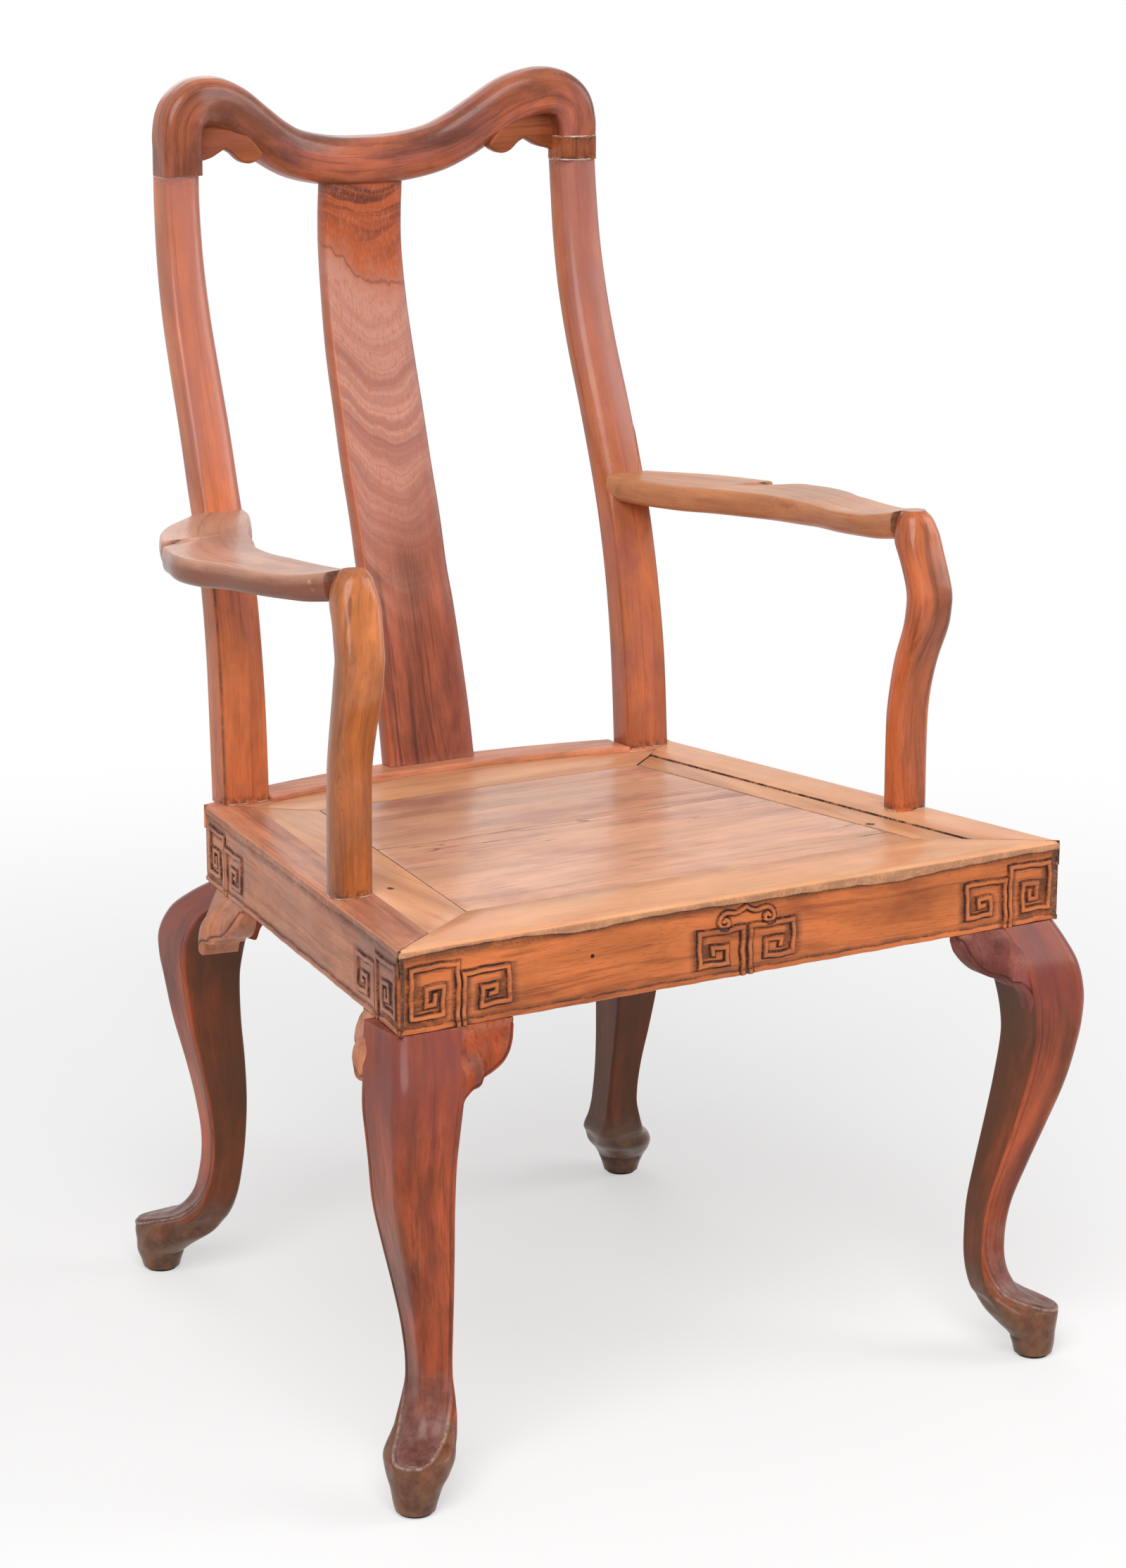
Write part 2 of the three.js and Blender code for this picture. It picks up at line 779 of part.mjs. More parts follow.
function armAt(share) {
  const [wing, drawIn, rise, thickness] = armTable(share);
  const outer = supportX + armFrontWidth / 2 + wing * armWingReach;
  const inner = supportX - armFrontWidth / 2 + drawIn * armRearDrawIn;
  const y = armRearY + (armFrontY - armRearY) * share;
  return { outer, inner, y, top: armHeight + rise * armFrontRise, thickness: thickness * armThickness };
}

function armLoft() {
  const rings = [];
  for (let step = 0; step <= armSections; step += 1) {
    const { outer, inner, y, top, thickness } = armAt(step / armSections);
    const middle = new THREE.Vector3((outer + inner) / 2, y + fit / 2, top - thickness / 2);
    const width = outer - inner;
    rings.push(cornerRing(middle, alongX, alongZ, width, thickness, armUnderRadius, armEdgeRadius));
  }
  return loft(rings);
}

// The beak: a hooked notch in the wing's outer edge, ahead of the post
function armNotch() {
  const { outer, y } = armAt(armNotchShare);
  const outline = [
    [outer - armNotchDepth, y],
    [outer + overrun, y + armNotchLength * beakRearShare],
    [outer + overrun + armNotchDepth, y - armNotchLength],
    [outer + armNotchDepth * beakTipShare, y - armNotchLength],
    [outer - armNotchDepth * beakThroatShare, y - armNotchLength * beakThroatShare],
  ];
  return slab(outline, armHeight - armThickness - overrun, armHeight + armFrontRise + overrun);
}

function armRearTenon(extra = 0) {
  const height = armHeight - armThickness / 2;
  const { x, y } = postAt(height);
  const face = y - postThickness / 2;
  const half = armTenonThickness / 2 + extra;
  const wide = armTenonWidth / 2 + extra;
  return boxBetween(
    [x - wide, face - overrun, height - half],
    [x + wide, face + armTenonLength + extra, height + half],
  );
}

function armFrontTenon(extra = 0) {
  const height = armHeight + armFrontRise - armThickness / 2;
  const half = armTenonThickness / 2 + extra;
  const wide = armTenonWidth / 2 + extra;
  return boxBetween(
    [supportX - wide, armFrontY - armTenonLength - extra, height - half],
    [supportX + wide, armFrontY + overrun, height + half],
  );
}

function arm() {
  const bar = cut(armLoft(), postLoft(fit), armNotch());
  return join(bar, armRearTenon(), armFrontTenon());
}

// Arm supports: shares of the height, the sway, the splay, the width and the thickness
const supportShares = [
  [0.0, 0.0, 0.0, 1.0, 1.0],
  [0.3, 0.04, 0.02, 1.0, 1.0],
  [0.403, 0.15, 0.22, 1.0, 1.0],
  [0.513, 0.43, 0.4, 1.03, 1.04],
  [0.623, 0.83, 0.85, 1.06, 1.1],
  [0.7, 0.98, 0.87, 1.07, 1.1],
  [0.74, 1.0, 0.7, 1.07, 1.1],
  [0.788, 0.88, 0.5, 1.07, 1.1],
  [0.842, 0.71, 0.15, 1.07, 1.12],
  [0.897, 0.5, -0.1, 1.06, 1.2],
  [0.94, 0.4, -0.1, 1.0, 1.2],
  [0.975, 0.36, -0.3, 0.86, 1.05],
  [1.0, 0.33, -0.5, 0.56, 0.75],
];

const supportTop = armHeight + armFrontRise + supportHeadRise;

function supportLoft() {
  const table = smoothTable(supportShares);
  const bottom = seatHeight + fit;
  const rings = supportShares.map(([share]) => {
    const [sway, splay, width, thickness] = table(share);
    const height = bottom + (supportTop - bottom) * share;
    const middle = new THREE.Vector3(supportX + splay * supportSplay, supportY - sway * supportSway, height);
    const wide = width * supportWidth;
    const deep = thickness * supportThickness;
    return cornerRing(middle, alongX, alongY, wide, deep, supportEdgeRadius, supportEdgeRadius);
  });
  return loft(rings);
}

function supportTenon(extra = 0) {
  const wide = supportTenonWidth + 2 * extra;
  const deep = supportTenonThickness + 2 * extra;
  const bottom = seatHeight - supportTenonLength - extra;
  return block(supportX, supportY, wide, deep, bottom, seatHeight + overrun);
}

function armSupport() {
  const under = armHeight + armFrontRise - armThickness - fit;
  const behind = boxBetween(
    [supportX - supportWidth, armFrontY - fit / 2, under],
    [supportX + supportWidth, armFrontY + supportThickness, supportTop + overrun],
  );
  return join(cut(supportLoft(), behind, armFrontTenon(fit)), supportTenon());
}

// Crest rail: shares of the post spacing, of the rise from valley to hump, of the bow and of the belly
const crestShares = [
  [1.0, 0.31, 0.0, 0.0],
  [0.998, 0.55, 0.01, 0.2],
  [0.975, 0.81, 0.04, 0.5],
  [0.915, 0.97, 0.12, 0.8],
  [0.83, 0.995, 0.25, 1.0],
  [0.716, 0.875, 0.42, 1.0],
  [0.582, 0.575, 0.6, 1.0],
  [0.477, 0.34, 0.74, 1.0],
  [0.363, 0.155, 0.86, 1.0],
  [0.19, 0.03, 0.96, 1.0],
  [0.0, 0.0, 1.0, 1.0],
];

const crestValleyMiddle = crestValleyHeight - crestBellyWidth / 2;
const crestHumpMiddle = crestHumpHeight - crestBellyWidth / 2;

function crestPath() {
  const half = crestShares.map(([x, rise, bow, belly]) => {
    const height = crestValleyMiddle + (crestHumpMiddle - crestValleyMiddle) * rise;
    return { point: new THREE.Vector3(x * postTopX, postTopY + bow * crestBow, height), belly };
  });
  const start = { point: new THREE.Vector3(postTopX, postTopY, postJointHeight - overrun), belly: 0 };
  const right = [start, ...half];
  const left = right.slice(0, -1).reverse().map(({ point, belly }) => {
    return { point: new THREE.Vector3(-point.x, point.y, point.z), belly };
  });
  return [...right, ...left];
}

function crestLoft(extra = 0) {
  const stops = crestPath();
  const curve = new THREE.CatmullRomCurve3(stops.map(({ point }) => point), false, 'centripetal');
  const sections = (stops.length - 1) * crestRingsPerStop;
  const rings = [];
  for (let step = 0; step <= sections; step += 1) {
    const t = step / sections;
    const spot = t * (stops.length - 1);
    const before = Math.min(Math.floor(spot), stops.length - 2);
    const share = spot - before;
    const belly = stops[before].belly * (1 - share) + stops[before + 1].belly * share;
    const middle = curve.getPoint(t);
    const tangent = curve.getTangent(t);
    const depth = alongY.clone().addScaledVector(tangent, -alongY.dot(tangent)).normalize();
    const across = new THREE.Vector3().crossVectors(tangent, depth);
    const width = crestWidth + (crestBellyWidth - crestWidth) * belly + 2 * extra;
    const deep = crestThickness + (crestBellyThickness - crestThickness) * belly + 2 * extra;
    const radius = crestJointRadius + (crestEdgeRadius - crestJointRadius) * belly;
    rings.push(cornerRing(middle, across, depth, width, deep, radius, radius));
  }
  return loft(rings);
}

// The space over one post between two heights
function overPost(bottom, top) {
  const inner = postTopX - crestBellyWidth;
  return boxBetween([inner, 0, bottom], [inner + seatBackWidth, seatFrontWidth, top]);
}

function crestRail() {
  const leftJoint = mirrored(overPost(0, postJointHeight + fit / 2));
  const rightJoint = overPost(0, postJointHeight + repairBlockHeight + fit / 2);
  return cut(crestLoft(), leftJoint, rightJoint, mirrored(postHeadTenon(fit)), splatTopTenon(fit));
}

function repairBlock() {
  const slice = overPost(postJointHeight + fit / 2, postJointHeight + repairBlockHeight - fit / 2);
  return cut(overlap(crestLoft(), slice), postHeadTenon(fit));
}

// Carved brackets under the humps: a cusp by the post, then a round lobe dying into the rail
// Rows: share of the reach from the post, share of the rise above the post's joint
const crestBracketShares = [
  [-0.1, 0.23],
  [0.07, 0.23],
  [0.27, 0.31],
  [0.44, 0.45],
  [0.54, 0.37],
  [0.66, 0.22],
  [0.78, 0.16],
  [0.9, 0.2],
  [1.0, 0.32],
  [0.9, 0.52],
  [0.8, 0.66],
  [0.64, 0.86],
  [0.44, 1.0],
  [0.3, 1.07],
  [0.16, 1.03],
  [-0.1, 0.95],
];

function crestBracketPlate() {
  const faceX = postTopX - crestWidth / 2;
  const outline = crestBracketShares.map(([along, up]) => {
    return [faceX - along * crestBracketReach, postJointHeight + up * crestBracketRise];
  });
  return plate(outline, postTopY + crestBracketSetBack, crestBracketThickness);
}

// Splat: shares of the height, the rake and the width
const splatShares = [
  [0.0, 0.0, 1.02],
  [0.0855, 0.073, 1.01],
  [0.178, 0.177, 1.0],
  [0.271, 0.3, 1.0],
  [0.327, 0.39, 1.0],
  [0.42, 0.498, 1.0],
  [0.513, 0.63, 1.0],
  [0.606, 0.745, 0.99],
  [0.699, 0.864, 0.975],
  [0.792, 0.955, 0.94],
  [0.885, 1.015, 0.917],
  [0.95, 1.018, 0.915],
  [1.0, 1.0, 0.915],
];

const splatBaseY = backEdge(0) - splatBackInset - splatThickness / 2;
const splatTopY = splatBaseY + splatRake;
const crestUnderside = crestValleyHeight - crestBellyWidth;

function splatLoft() {
  const table = smoothTable(splatShares);
  const bottom = backRailTop + fit;
  const top = crestUnderside;
  const rings = splatShares.map(([share]) => {
    const [rake, width] = table(share);
    const middle = new THREE.Vector3(0, splatBaseY + rake * splatRake, bottom + (top - bottom) * share);
    const wide = width * splatWidth;
    return cornerRing(middle, alongX, alongY, wide, splatThickness, splatEdgeRadius, splatEdgeRadius, 2);
  });
  const head = rings[rings.length - 1].map((point) => point.clone().setZ(crestValleyMiddle));
  return loft([...rings, head]);
}

function splatFootTenon(extra = 0) {
  const wide = splatTenonWidth + 2 * extra;
  const deep = splatTenonThickness + 2 * extra;
  return block(0, splatBaseY, wide, deep, backRailTop - splatTenonLength - extra, backRailTop + overrun);
}

function splatTopTenon(extra = 0) {
  const wide = splatTenonWidth + 2 * extra;
  const deep = splatTenonThickness + 2 * extra;
  return block(0, splatTopY, wide, deep, crestUnderside - overrun, crestUnderside + splatTopTenonLength + extra);
}

function splat() {
  return join(cut(splatLoft(), crestLoft(fit)), splatFootTenon(), splatTopTenon());
}

// The patch is a long wedge at the post's outer edge, standing on the arm
function patchWedge(gap) {
  const bottom = armHeight + armFrontRise * armRearRiseShare + gap;
  const foot = postAt(bottom);
  const tip = postAt(bottom + patchHeight);
  const footX = foot.x + foot.width / 2 - patchWidth + gap;
  const tipX = tip.x + tip.width / 2 + gap;
  const outline = [
    [footX, bottom],
    [footX + patchWidth + overrun, bottom],
    [tipX + overrun, bottom + patchHeight],
    [tipX, bottom + patchHeight],
  ];
  return plate(outline, seatBack - seatDepth / 4, seatDepth / 2);
}

// Seat pieces
function sideRail(width) {
  return cut(rail(sideRailOutline(width)), supportTenon(fit));
}

function backRail() {
  const half = postX - postWidth / 2 - fit;
  const raised = [...bowLine(backEdge, half, -half), ...bowLine(railInnerBack, -half, half)];
  const step = slab(shrunk(raised, fit / 2), seatHeight - fit, backRailTop);
  const whole = join(rail(backRailOutline()), step);
  return cut(whole, postFootTenon(fit), mirrored(postFootTenon(fit)), splatFootTenon(fit));
}

function strip(outline) {
  return slab(shrunk(outline, fit / 2), panelTop - stripThickness, panelTop);
}

function board(front, back) {
  const frontX = seatHalfWidth(front) - seatBorderWidth;
  const backX = seatHalfWidth(back) - seatBorderWidth;
  const outline = [[-frontX, front], [frontX, front], [backX, back], [-backX, back]];
  return slab(shrunk(outline, fit / 2), panelTop - boardThickness, panelTop);
}

function batten(x) {
  const top = panelTop - boardThickness - fit;
  const low = [x - battenWidth / 2, panelFront + fit / 2, top - battenDepth];
  const high = [x + battenWidth / 2, stripFrontY - fit / 2, top];
  return boxBetween(low, high);
}

const chair = new THREE.Group();
const body = new THREE.Group();
chair.add(body);

function place(name, geometry, material) {
  const mesh = new THREE.Mesh(geometry, material);
  mesh.name = name;
  body.add(mesh);
}

function placePair(name, geometry, material) {
  place(`${name}_right`, geometry, material);
  place(`${name}_left`, mirrored(geometry), material);
}

place('seat_front_rail', rail(frontRailOutline()), wood(colours.frame));
place('seat_side_rail_right', sideRail(sideRailWidthRight), wood(colours.frame));
place('seat_side_rail_left', mirrored(sideRail(sideRailWidthLeft)), wood(colours.frame));
place('seat_back_rail', backRail(), wood(colours.frame));
place('seat_strip_right', strip(sideStripOutline(sideRailWidthRight)), wood(colours.strip));
place('seat_strip_left', mirrored(strip(sideStripOutline(sideRailWidthLeft))), wood(colours.strip));
place('seat_strip_back', strip(backStripOutline()), wood(colours.strip));
place('seat_board_front', board(panelFront, boardSeamY), wood(colours.board));
place('seat_board_back', board(boardSeamY, stripFrontY), wood(colours.board));
place('panel_batten_right', batten(battenSpacing / 2), wood(colours.batten));
place('panel_batten_left', batten(-battenSpacing / 2), wood(colours.batten));

placePair('leg_front', leg(frontLegPlace), wood(colours.leg));
placePair('leg_back', leg(rearLegPlace), wood(colours.leg));
placePair('knee_bracket_front', frontBracket(), wood(colours.leg));
placePair('knee_bracket_front_side', frontSideBracket(), wood(colours.strip));
placePair('knee_bracket_back_side', rearSideBracket(), wood(colours.strip));
placePair('knee_bracket_back', backBracket(), wood(colours.leg));
placePair('foot_pad_front', footPad(frontLegPlace), wood(colours.felt, 0.9));
placePair('foot_pad_back', footPad(rearLegPlace), wood(colours.felt, 0.9));

const patch = overlap(postLoft(), patchWedge(fit));
const barePost = cut(postLoft(), armRearTenon(fit));
const post = join(barePost, postFootTenon(), postHeadTenon());
place('back_post_left', mirrored(post), wood(colours.post));
place('back_post_right', cut(post, patchWedge(0)), wood(colours.post));
place('post_patch_right', patch, wood(colours.post));
placePair('arm', arm(), wood(colours.arm));
placePair('arm_support', armSupport(), wood(colours.support));
place('crest_rail', crestRail(), wood(colours.crest));
place('crest_repair_block', repairBlock(), wood(colours.crest));
place('crest_bracket_right', cut(crestBracketPlate(), crestLoft(fit)), wood(colours.crest));
place('crest_bracket_left', cut(mirrored(crestBracketPlate()), crestLoft(fit)), wood(colours.crest));
place('back_splat', splat(), wood(colours.splat));

const span = new THREE.Box3().setFromObject(body);
body.position.y = -(span.min.y + span.max.y) / 2;

export default chair;
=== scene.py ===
"""Looks of a carved open armchair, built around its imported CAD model.

Lengths in the tables are millimetres on the chair's own plan, whose Y is zero at half the seat's depth.
They become metres in the frame's place when a piece is finished.
"""

import math

import bmesh
import bpy
import numpy as np
from bpy.props import FloatProperty, FloatVectorProperty, PointerProperty
from mathutils import Matrix, Vector
from mathutils.kdtree import KDTree


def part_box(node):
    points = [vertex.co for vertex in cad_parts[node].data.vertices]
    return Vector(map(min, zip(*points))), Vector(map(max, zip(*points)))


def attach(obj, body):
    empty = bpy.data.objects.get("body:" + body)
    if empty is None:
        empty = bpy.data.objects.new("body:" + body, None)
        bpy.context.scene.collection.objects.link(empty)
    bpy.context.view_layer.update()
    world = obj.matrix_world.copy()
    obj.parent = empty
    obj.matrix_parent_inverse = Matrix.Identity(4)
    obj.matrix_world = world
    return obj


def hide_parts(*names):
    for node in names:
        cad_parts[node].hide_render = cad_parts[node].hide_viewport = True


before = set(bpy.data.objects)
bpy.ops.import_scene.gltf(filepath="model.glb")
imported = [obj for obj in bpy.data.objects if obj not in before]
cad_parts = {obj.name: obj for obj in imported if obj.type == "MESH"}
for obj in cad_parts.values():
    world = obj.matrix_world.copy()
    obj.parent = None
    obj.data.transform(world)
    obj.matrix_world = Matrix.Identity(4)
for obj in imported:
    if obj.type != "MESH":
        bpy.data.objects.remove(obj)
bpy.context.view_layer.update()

bl_info = {
    "name": "Carved Open Armchair",
    "version": (1, 0, 0),
    "blender": (4, 5, 0),
    "location": "View3D > Sidebar > Armchair",
    "description": "Builds the looks of a carved hardwood armchair around its frame",
    "category": "Object",
}

MM = 0.001
BODY = "root"
PHOTO_HEIGHT = 2229
# The fitted camera: focal length in the photograph's pixels, degrees down and round, place in the plan
FOCAL_LENGTH = 5232.8
CAMERA_SHIFT = -0.12
CAMERA_DIP = 10.779
CAMERA_TURN = -31.408
CAMERA_PLACE = (-1656.8, -2674.2, 1276.7)
SENSOR = 36.0

# The seat's plan, as in the frame
SEAT_HEIGHT = 470.0
SEAT_DEPTH = 504.0
SEAT_FRONT_WIDTH = 657.0
SEAT_BACK_WIDTH = 502.0
SEAT_FRONT = -SEAT_DEPTH / 2
SEAT_BACK = SEAT_DEPTH / 2
BACK_BOW = 42.0
APRON_BOTTOM = 399.5
FRAME_THICKNESS = 22.0
FRAME_UNDERSIDE = SEAT_HEIGHT - FRAME_THICKNESS
APRON_THICKNESS = 24.0
LIP = 2.5
FRONT_RAIL_WIDTH = 73.0
BACK_RAIL_WIDTH = 40.0
BACK_RAIL_TOP = 474.0
SIDE_WIDTHS = {"left": 41.0, "right": 57.0}
BORDER = 93.0
BACK_STRIP = 70.0
PANEL_TOP = 469.0
BOARD_THICKNESS = 12.0
STRIP_THICKNESS = 18.0
PANEL_FRONT = SEAT_FRONT + FRONT_RAIL_WIDTH
STRIP_FRONT = SEAT_BACK - BACK_STRIP
SEAM = PANEL_FRONT + 210.0
FIT = 0.3
PLAN_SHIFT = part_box("seat_front_rail")[0].y / MM - (SEAT_FRONT + FIT / 2)
TO_FRAME = Matrix.Scale(MM, 4) @ Matrix.Translation((0.0, PLAN_SHIFT, 0.0))

# Legs. Rows: height, across, along, width, roundness of the corners, stretch along the diagonal
LEG_TOP = 58.0
LEG_INSET = 1.0
PAD = 3.0
FRONT_LEG = (
    (1.0, 0.0, 0.0, 1.0, 0.08, 1.0),
    (0.96, 0.35, -0.42, 1.03, 0.1, 1.0),
    (0.91, 0.7, -0.85, 1.05, 0.12, 1.0),
    (0.845, 1.0, -1.05, 1.02, 0.14, 1.0),
    (0.79, 1.07, -1.11, 0.96, 0.14, 1.0),
    (0.74, 1.04, -1.07, 0.91, 0.14, 1.0),
    (0.64, 0.76, -0.81, 0.85, 0.14, 1.0),
    (0.54, 0.25, -0.51, 0.75, 0.14, 1.0),
    (0.44, -0.31, -0.18, 0.64, 0.15, 1.0),
    (0.34, -0.79, 0.13, 0.54, 0.16, 1.0),
    (0.25, -0.95, 0.22, 0.5, 0.22, 1.0),
    (0.193, -0.85, 0.16, 0.6, 0.4, 0.92),
    (0.143, -0.48, -0.07, 0.77, 0.6, 0.88),
    (0.128, -0.14, -0.3, 0.83, 0.65, 0.95),
    (0.117, 0.2, -0.52, 0.88, 0.7, 1.1),
    (0.107, 0.42, -0.68, 0.92, 0.75, 1.16),
    (0.093, 0.52, -0.76, 0.92, 0.8, 1.12),
    (0.067, 0.73, -0.91, 0.84, 0.9, 1.03),
    (0.047, 0.9, -1.02, 0.74, 1.0, 0.99),
    (0.017, 1.0, -1.06, 0.63, 1.0, 1.01),
    (0.0, 1.0, -1.06, 0.57, 1.0, 1.03),
)
REAR_LEG = (
    (1.0, 0.0, 0.0, 1.0, 0.08, 1.0),
    (0.96, 0.5, 0.4, 1.02, 0.1, 1.0),
    (0.91, 1.05, 0.77, 1.08, 0.12, 1.0),
    (0.845, 1.45, 0.985, 1.12, 0.14, 1.0),
    (0.79, 1.6, 1.03, 1.06, 0.14, 1.0),
    (0.74, 1.55, 1.03, 0.98, 0.14, 1.0),
    (0.64, 1.25, 0.975, 0.885, 0.14, 1.0),
    (0.54, 0.7, 0.89, 0.78, 0.14, 1.0),
    (0.44, 0.08, 0.87, 0.675, 0.15, 1.0),
    (0.34, -0.35, 0.91, 0.58, 0.16, 1.0),
    (0.25, -0.28, 1.0, 0.57, 0.22, 1.0),
    (0.193, 0.2, 1.09, 0.66, 0.3, 0.97),
    (0.143, 1.2, 1.27, 0.84, 0.5, 1.03),
    (0.118, 2.7, 1.45, 0.92, 0.62, 1.32),
    (0.093, 3.4, 1.49, 1.0, 0.8, 1.2),
    (0.067, 4.1, 1.55, 0.91, 0.9, 1.05),
    (0.042, 4.5, 1.62, 0.79, 1.0, 1.0),
    (0.017, 4.5, 1.63, 0.66, 1.0, 1.0),
    (0.0, 4.5, 1.63, 0.59, 1.0, 1.0),
)

# Knee ears. Rows: share of the reach, of the drop, of the bulge
EAR = (
    (0.0, 1.5, 1.28), (0.1, 1.36, 1.28), (0.13, 1.24, 1.28), (0.165, 1.06, 1.27), (0.2, 0.93, 1.24),
    (0.235, 0.85, 1.22), (0.27, 0.8, 1.2), (0.36, 0.72, 1.16), (0.47, 0.7, 1.0), (0.52, 0.63, 0.86),
    (0.66, 0.58, 0.68), (0.79, 0.5, 0.6), (0.88, 0.4, 0.46), (0.95, 0.27, 0.25), (1.0, 0.12, 0.0),
)
LOBED_EAR = ((0.0, 0.8, 0.6), (0.2, 0.95, 1.15), *EAR[6:])
# An ear's face from its scalloped edge up: where its points lie, and how full it is
EAR_FACE = (
    0.0, 0.012, 0.03, 0.055, 0.08, 0.11, 0.145, 0.19, 0.25, 0.32, 0.4, 0.49, 0.58, 0.68, 0.79, 0.9, 1.0,
)
EAR_SWELL = ((0.0, 0.82), (0.06, 0.95), (0.15, 1.0), (0.45, 0.9), (0.72, 0.5), (1.0, 0.0))
EAR_DROP = 66.0
EAR_BULGE = 20.0
EAR_THICKNESS = 14.0

# Back posts. Rows: height, draw-in, rake, width
POST = (
    (0.0, 0.0, 0.0, 1.0),
    (0.144, 0.07, 0.04, 1.0),
    (0.233, 0.18, 0.085, 0.98),
    (0.323, 0.29, 0.155, 0.965),
    (0.413, 0.35, 0.257, 0.957),
    (0.503, 0.4, 0.395, 0.95),
    (0.592, 0.58, 0.54, 0.94),
    (0.682, 0.73, 0.702, 0.925),
    (0.772, 0.76, 0.842, 0.9),
    (0.862, 0.8, 0.937, 0.865),
    (0.951, 0.88, 0.986, 0.84),
    (1.0, 1.0, 1.0, 0.837),
)
POST_X = 215.0
POST_WIDTH = 45.5
POST_THICKNESS = 29.0
POST_RAKE = 118.0
POST_DRAW = 5.5
HUMP_HEIGHT = 1115.0
VALLEY_HEIGHT = HUMP_HEIGHT - 61.5
POST_JOINT = HUMP_HEIGHT - 88.0
REPAIR_HEIGHT = 23.0

# Arms. Rows: length from the post, wing, draw-in, front rise, thickness
ARM = (
    (0.0, -1.4, -1.0, 0.18, 1.0),
    (0.044, -0.95, -0.95, 0.1, 1.0),
    (0.1, -0.37, -0.83, 0.0, 1.0),
    (0.155, 0.02, -0.7, -0.08, 1.0),
    (0.21, 0.27, -0.56, -0.13, 1.0),
    (0.265, 0.46, -0.39, -0.12, 1.0),
    (0.32, 0.68, -0.28, -0.08, 1.0),
    (0.376, 0.83, -0.17, -0.06, 1.0),
    (0.459, 1.0, 0.0, -0.05, 1.0),
    (0.541, 0.95, 0.06, -0.03, 0.98),
    (0.597, 0.8, 0.06, 0.0, 0.95),
    (0.652, 0.7, 0.04, 0.06, 0.92),
    (0.762, 0.56, -0.03, 0.09, 0.87),
    (0.873, 0.37, -0.05, 0.3, 0.88),
    (0.928, 0.24, -0.04, 0.55, 0.94),
    (1.0, 0.0, 0.0, 1.0, 1.0),
)
ARM_HEIGHT = 730.0
ARM_RISE = 11.0
ARM_THICKNESS = 25.0
ARM_WIDTH = 38.0
ARM_WING = 41.0
ARM_DRAW = 71.0
# Marks that the photograph shows, the chips on the left arm last: x, y, z and size
NAIL_HOLE = (-148.3, -249.6, 438.0, 2.0)
KNOT = (-242.6, -84.2, 469.0, 3.6)
PEG_HOLE = (222.9, -116.9, 469.0, 4.2)
ARM_CHIPS = ((-308.5, -71.5, 731.0, 2.4), (-308.0, -75.0, 725.0, 3.0))
NOTCH_PLACE = 0.275
NOTCH_DEPTH = 14.0

# Arm supports. Rows: height, sway, splay, width, thickness
SUPPORT = (
    (0.0, 0.0, 0.0, 1.0, 1.0),
    (0.3, 0.04, 0.02, 1.0, 1.0),
    (0.403, 0.15, 0.22, 1.0, 1.0),
    (0.513, 0.43, 0.4, 1.03, 1.04),
    (0.623, 0.83, 0.85, 1.06, 1.1),
    (0.7, 0.98, 0.87, 1.07, 1.1),
    (0.74, 1.0, 0.7, 1.07, 1.1),
    (0.788, 0.88, 0.5, 1.07, 1.1),
    (0.842, 0.71, 0.15, 1.07, 1.12),
    (0.897, 0.5, -0.1, 1.06, 1.2),
    (0.94, 0.4, -0.1, 1.0, 1.2),
    (0.975, 0.36, -0.3, 0.86, 1.05),
    (1.0, 0.33, -0.5, 0.56, 0.75),
)
SUPPORT_X = 282.5
SUPPORT_Y = SEAT_FRONT + 164.5
SUPPORT_WIDTH = 35.0
SUPPORT_THICKNESS = 25.0
SUPPORT_SWAY = 27.0
SUPPORT_SPLAY = 4.0
SUPPORT_TOP = ARM_HEIGHT + ARM_RISE + 2.0
ARM_FRONT = SUPPORT_Y + 1.5

# Crest rail. Rows: share of the post spacing, rise from valley to hump, bow, belly
CREST = (
    (1.0, 0.31, 0.0, 0.0),
    (0.998, 0.55, 0.01, 0.2),
    (0.975, 0.81, 0.04, 0.5),
    (0.915, 0.97, 0.12, 0.8),
    (0.83, 0.995, 0.25, 1.0),
    (0.716, 0.875, 0.42, 1.0),
    (0.582, 0.575, 0.6, 1.0),
    (0.477, 0.34, 0.74, 1.0),
    (0.363, 0.155, 0.86, 1.0),
    (0.19, 0.03, 0.96, 1.0),
    (0.0, 0.0, 1.0, 1.0),
)
CREST_WIDTHS = (38.5, 45.0)
CREST_DEPTHS = (33.0, 39.0)
CREST_RADII = (6.0, 14.0)
CREST_BOW = 41.0
CREST_BRACKET = (
    (-0.1, 0.23), (0.07, 0.23), (0.27, 0.31), (0.44, 0.45), (0.54, 0.37), (0.66, 0.22),
    (0.78, 0.16), (0.9, 0.2), (1.0, 0.32), (0.9, 0.52), (0.8, 0.66), (0.64, 0.86), (0.44, 1.0),
    (0.3, 1.07), (0.16, 1.03), (-0.1, 0.95),
)
CREST_BRACKET_REACH = 70.0
CREST_BRACKET_RISE = 48.0

# Splat. Rows: height, rake, width
SPLAT = (
    (0.0, 0.0, 1.02), (0.0855, 0.073, 1.01), (0.178, 0.177, 1.0), (0.271, 0.3, 1.0),
    (0.327, 0.39, 1.0), (0.42, 0.498, 1.0), (0.513, 0.63, 1.0), (0.606, 0.745, 0.99),
    (0.699, 0.864, 0.975), (0.792, 0.955, 0.94), (0.885, 1.015, 0.917), (0.95, 1.018, 0.915),
    (1.0, 1.0, 0.915),
)
SPLAT_WIDTH = 90.0
SPLAT_THICKNESS = 19.0
SPLAT_RAKE = 124.0

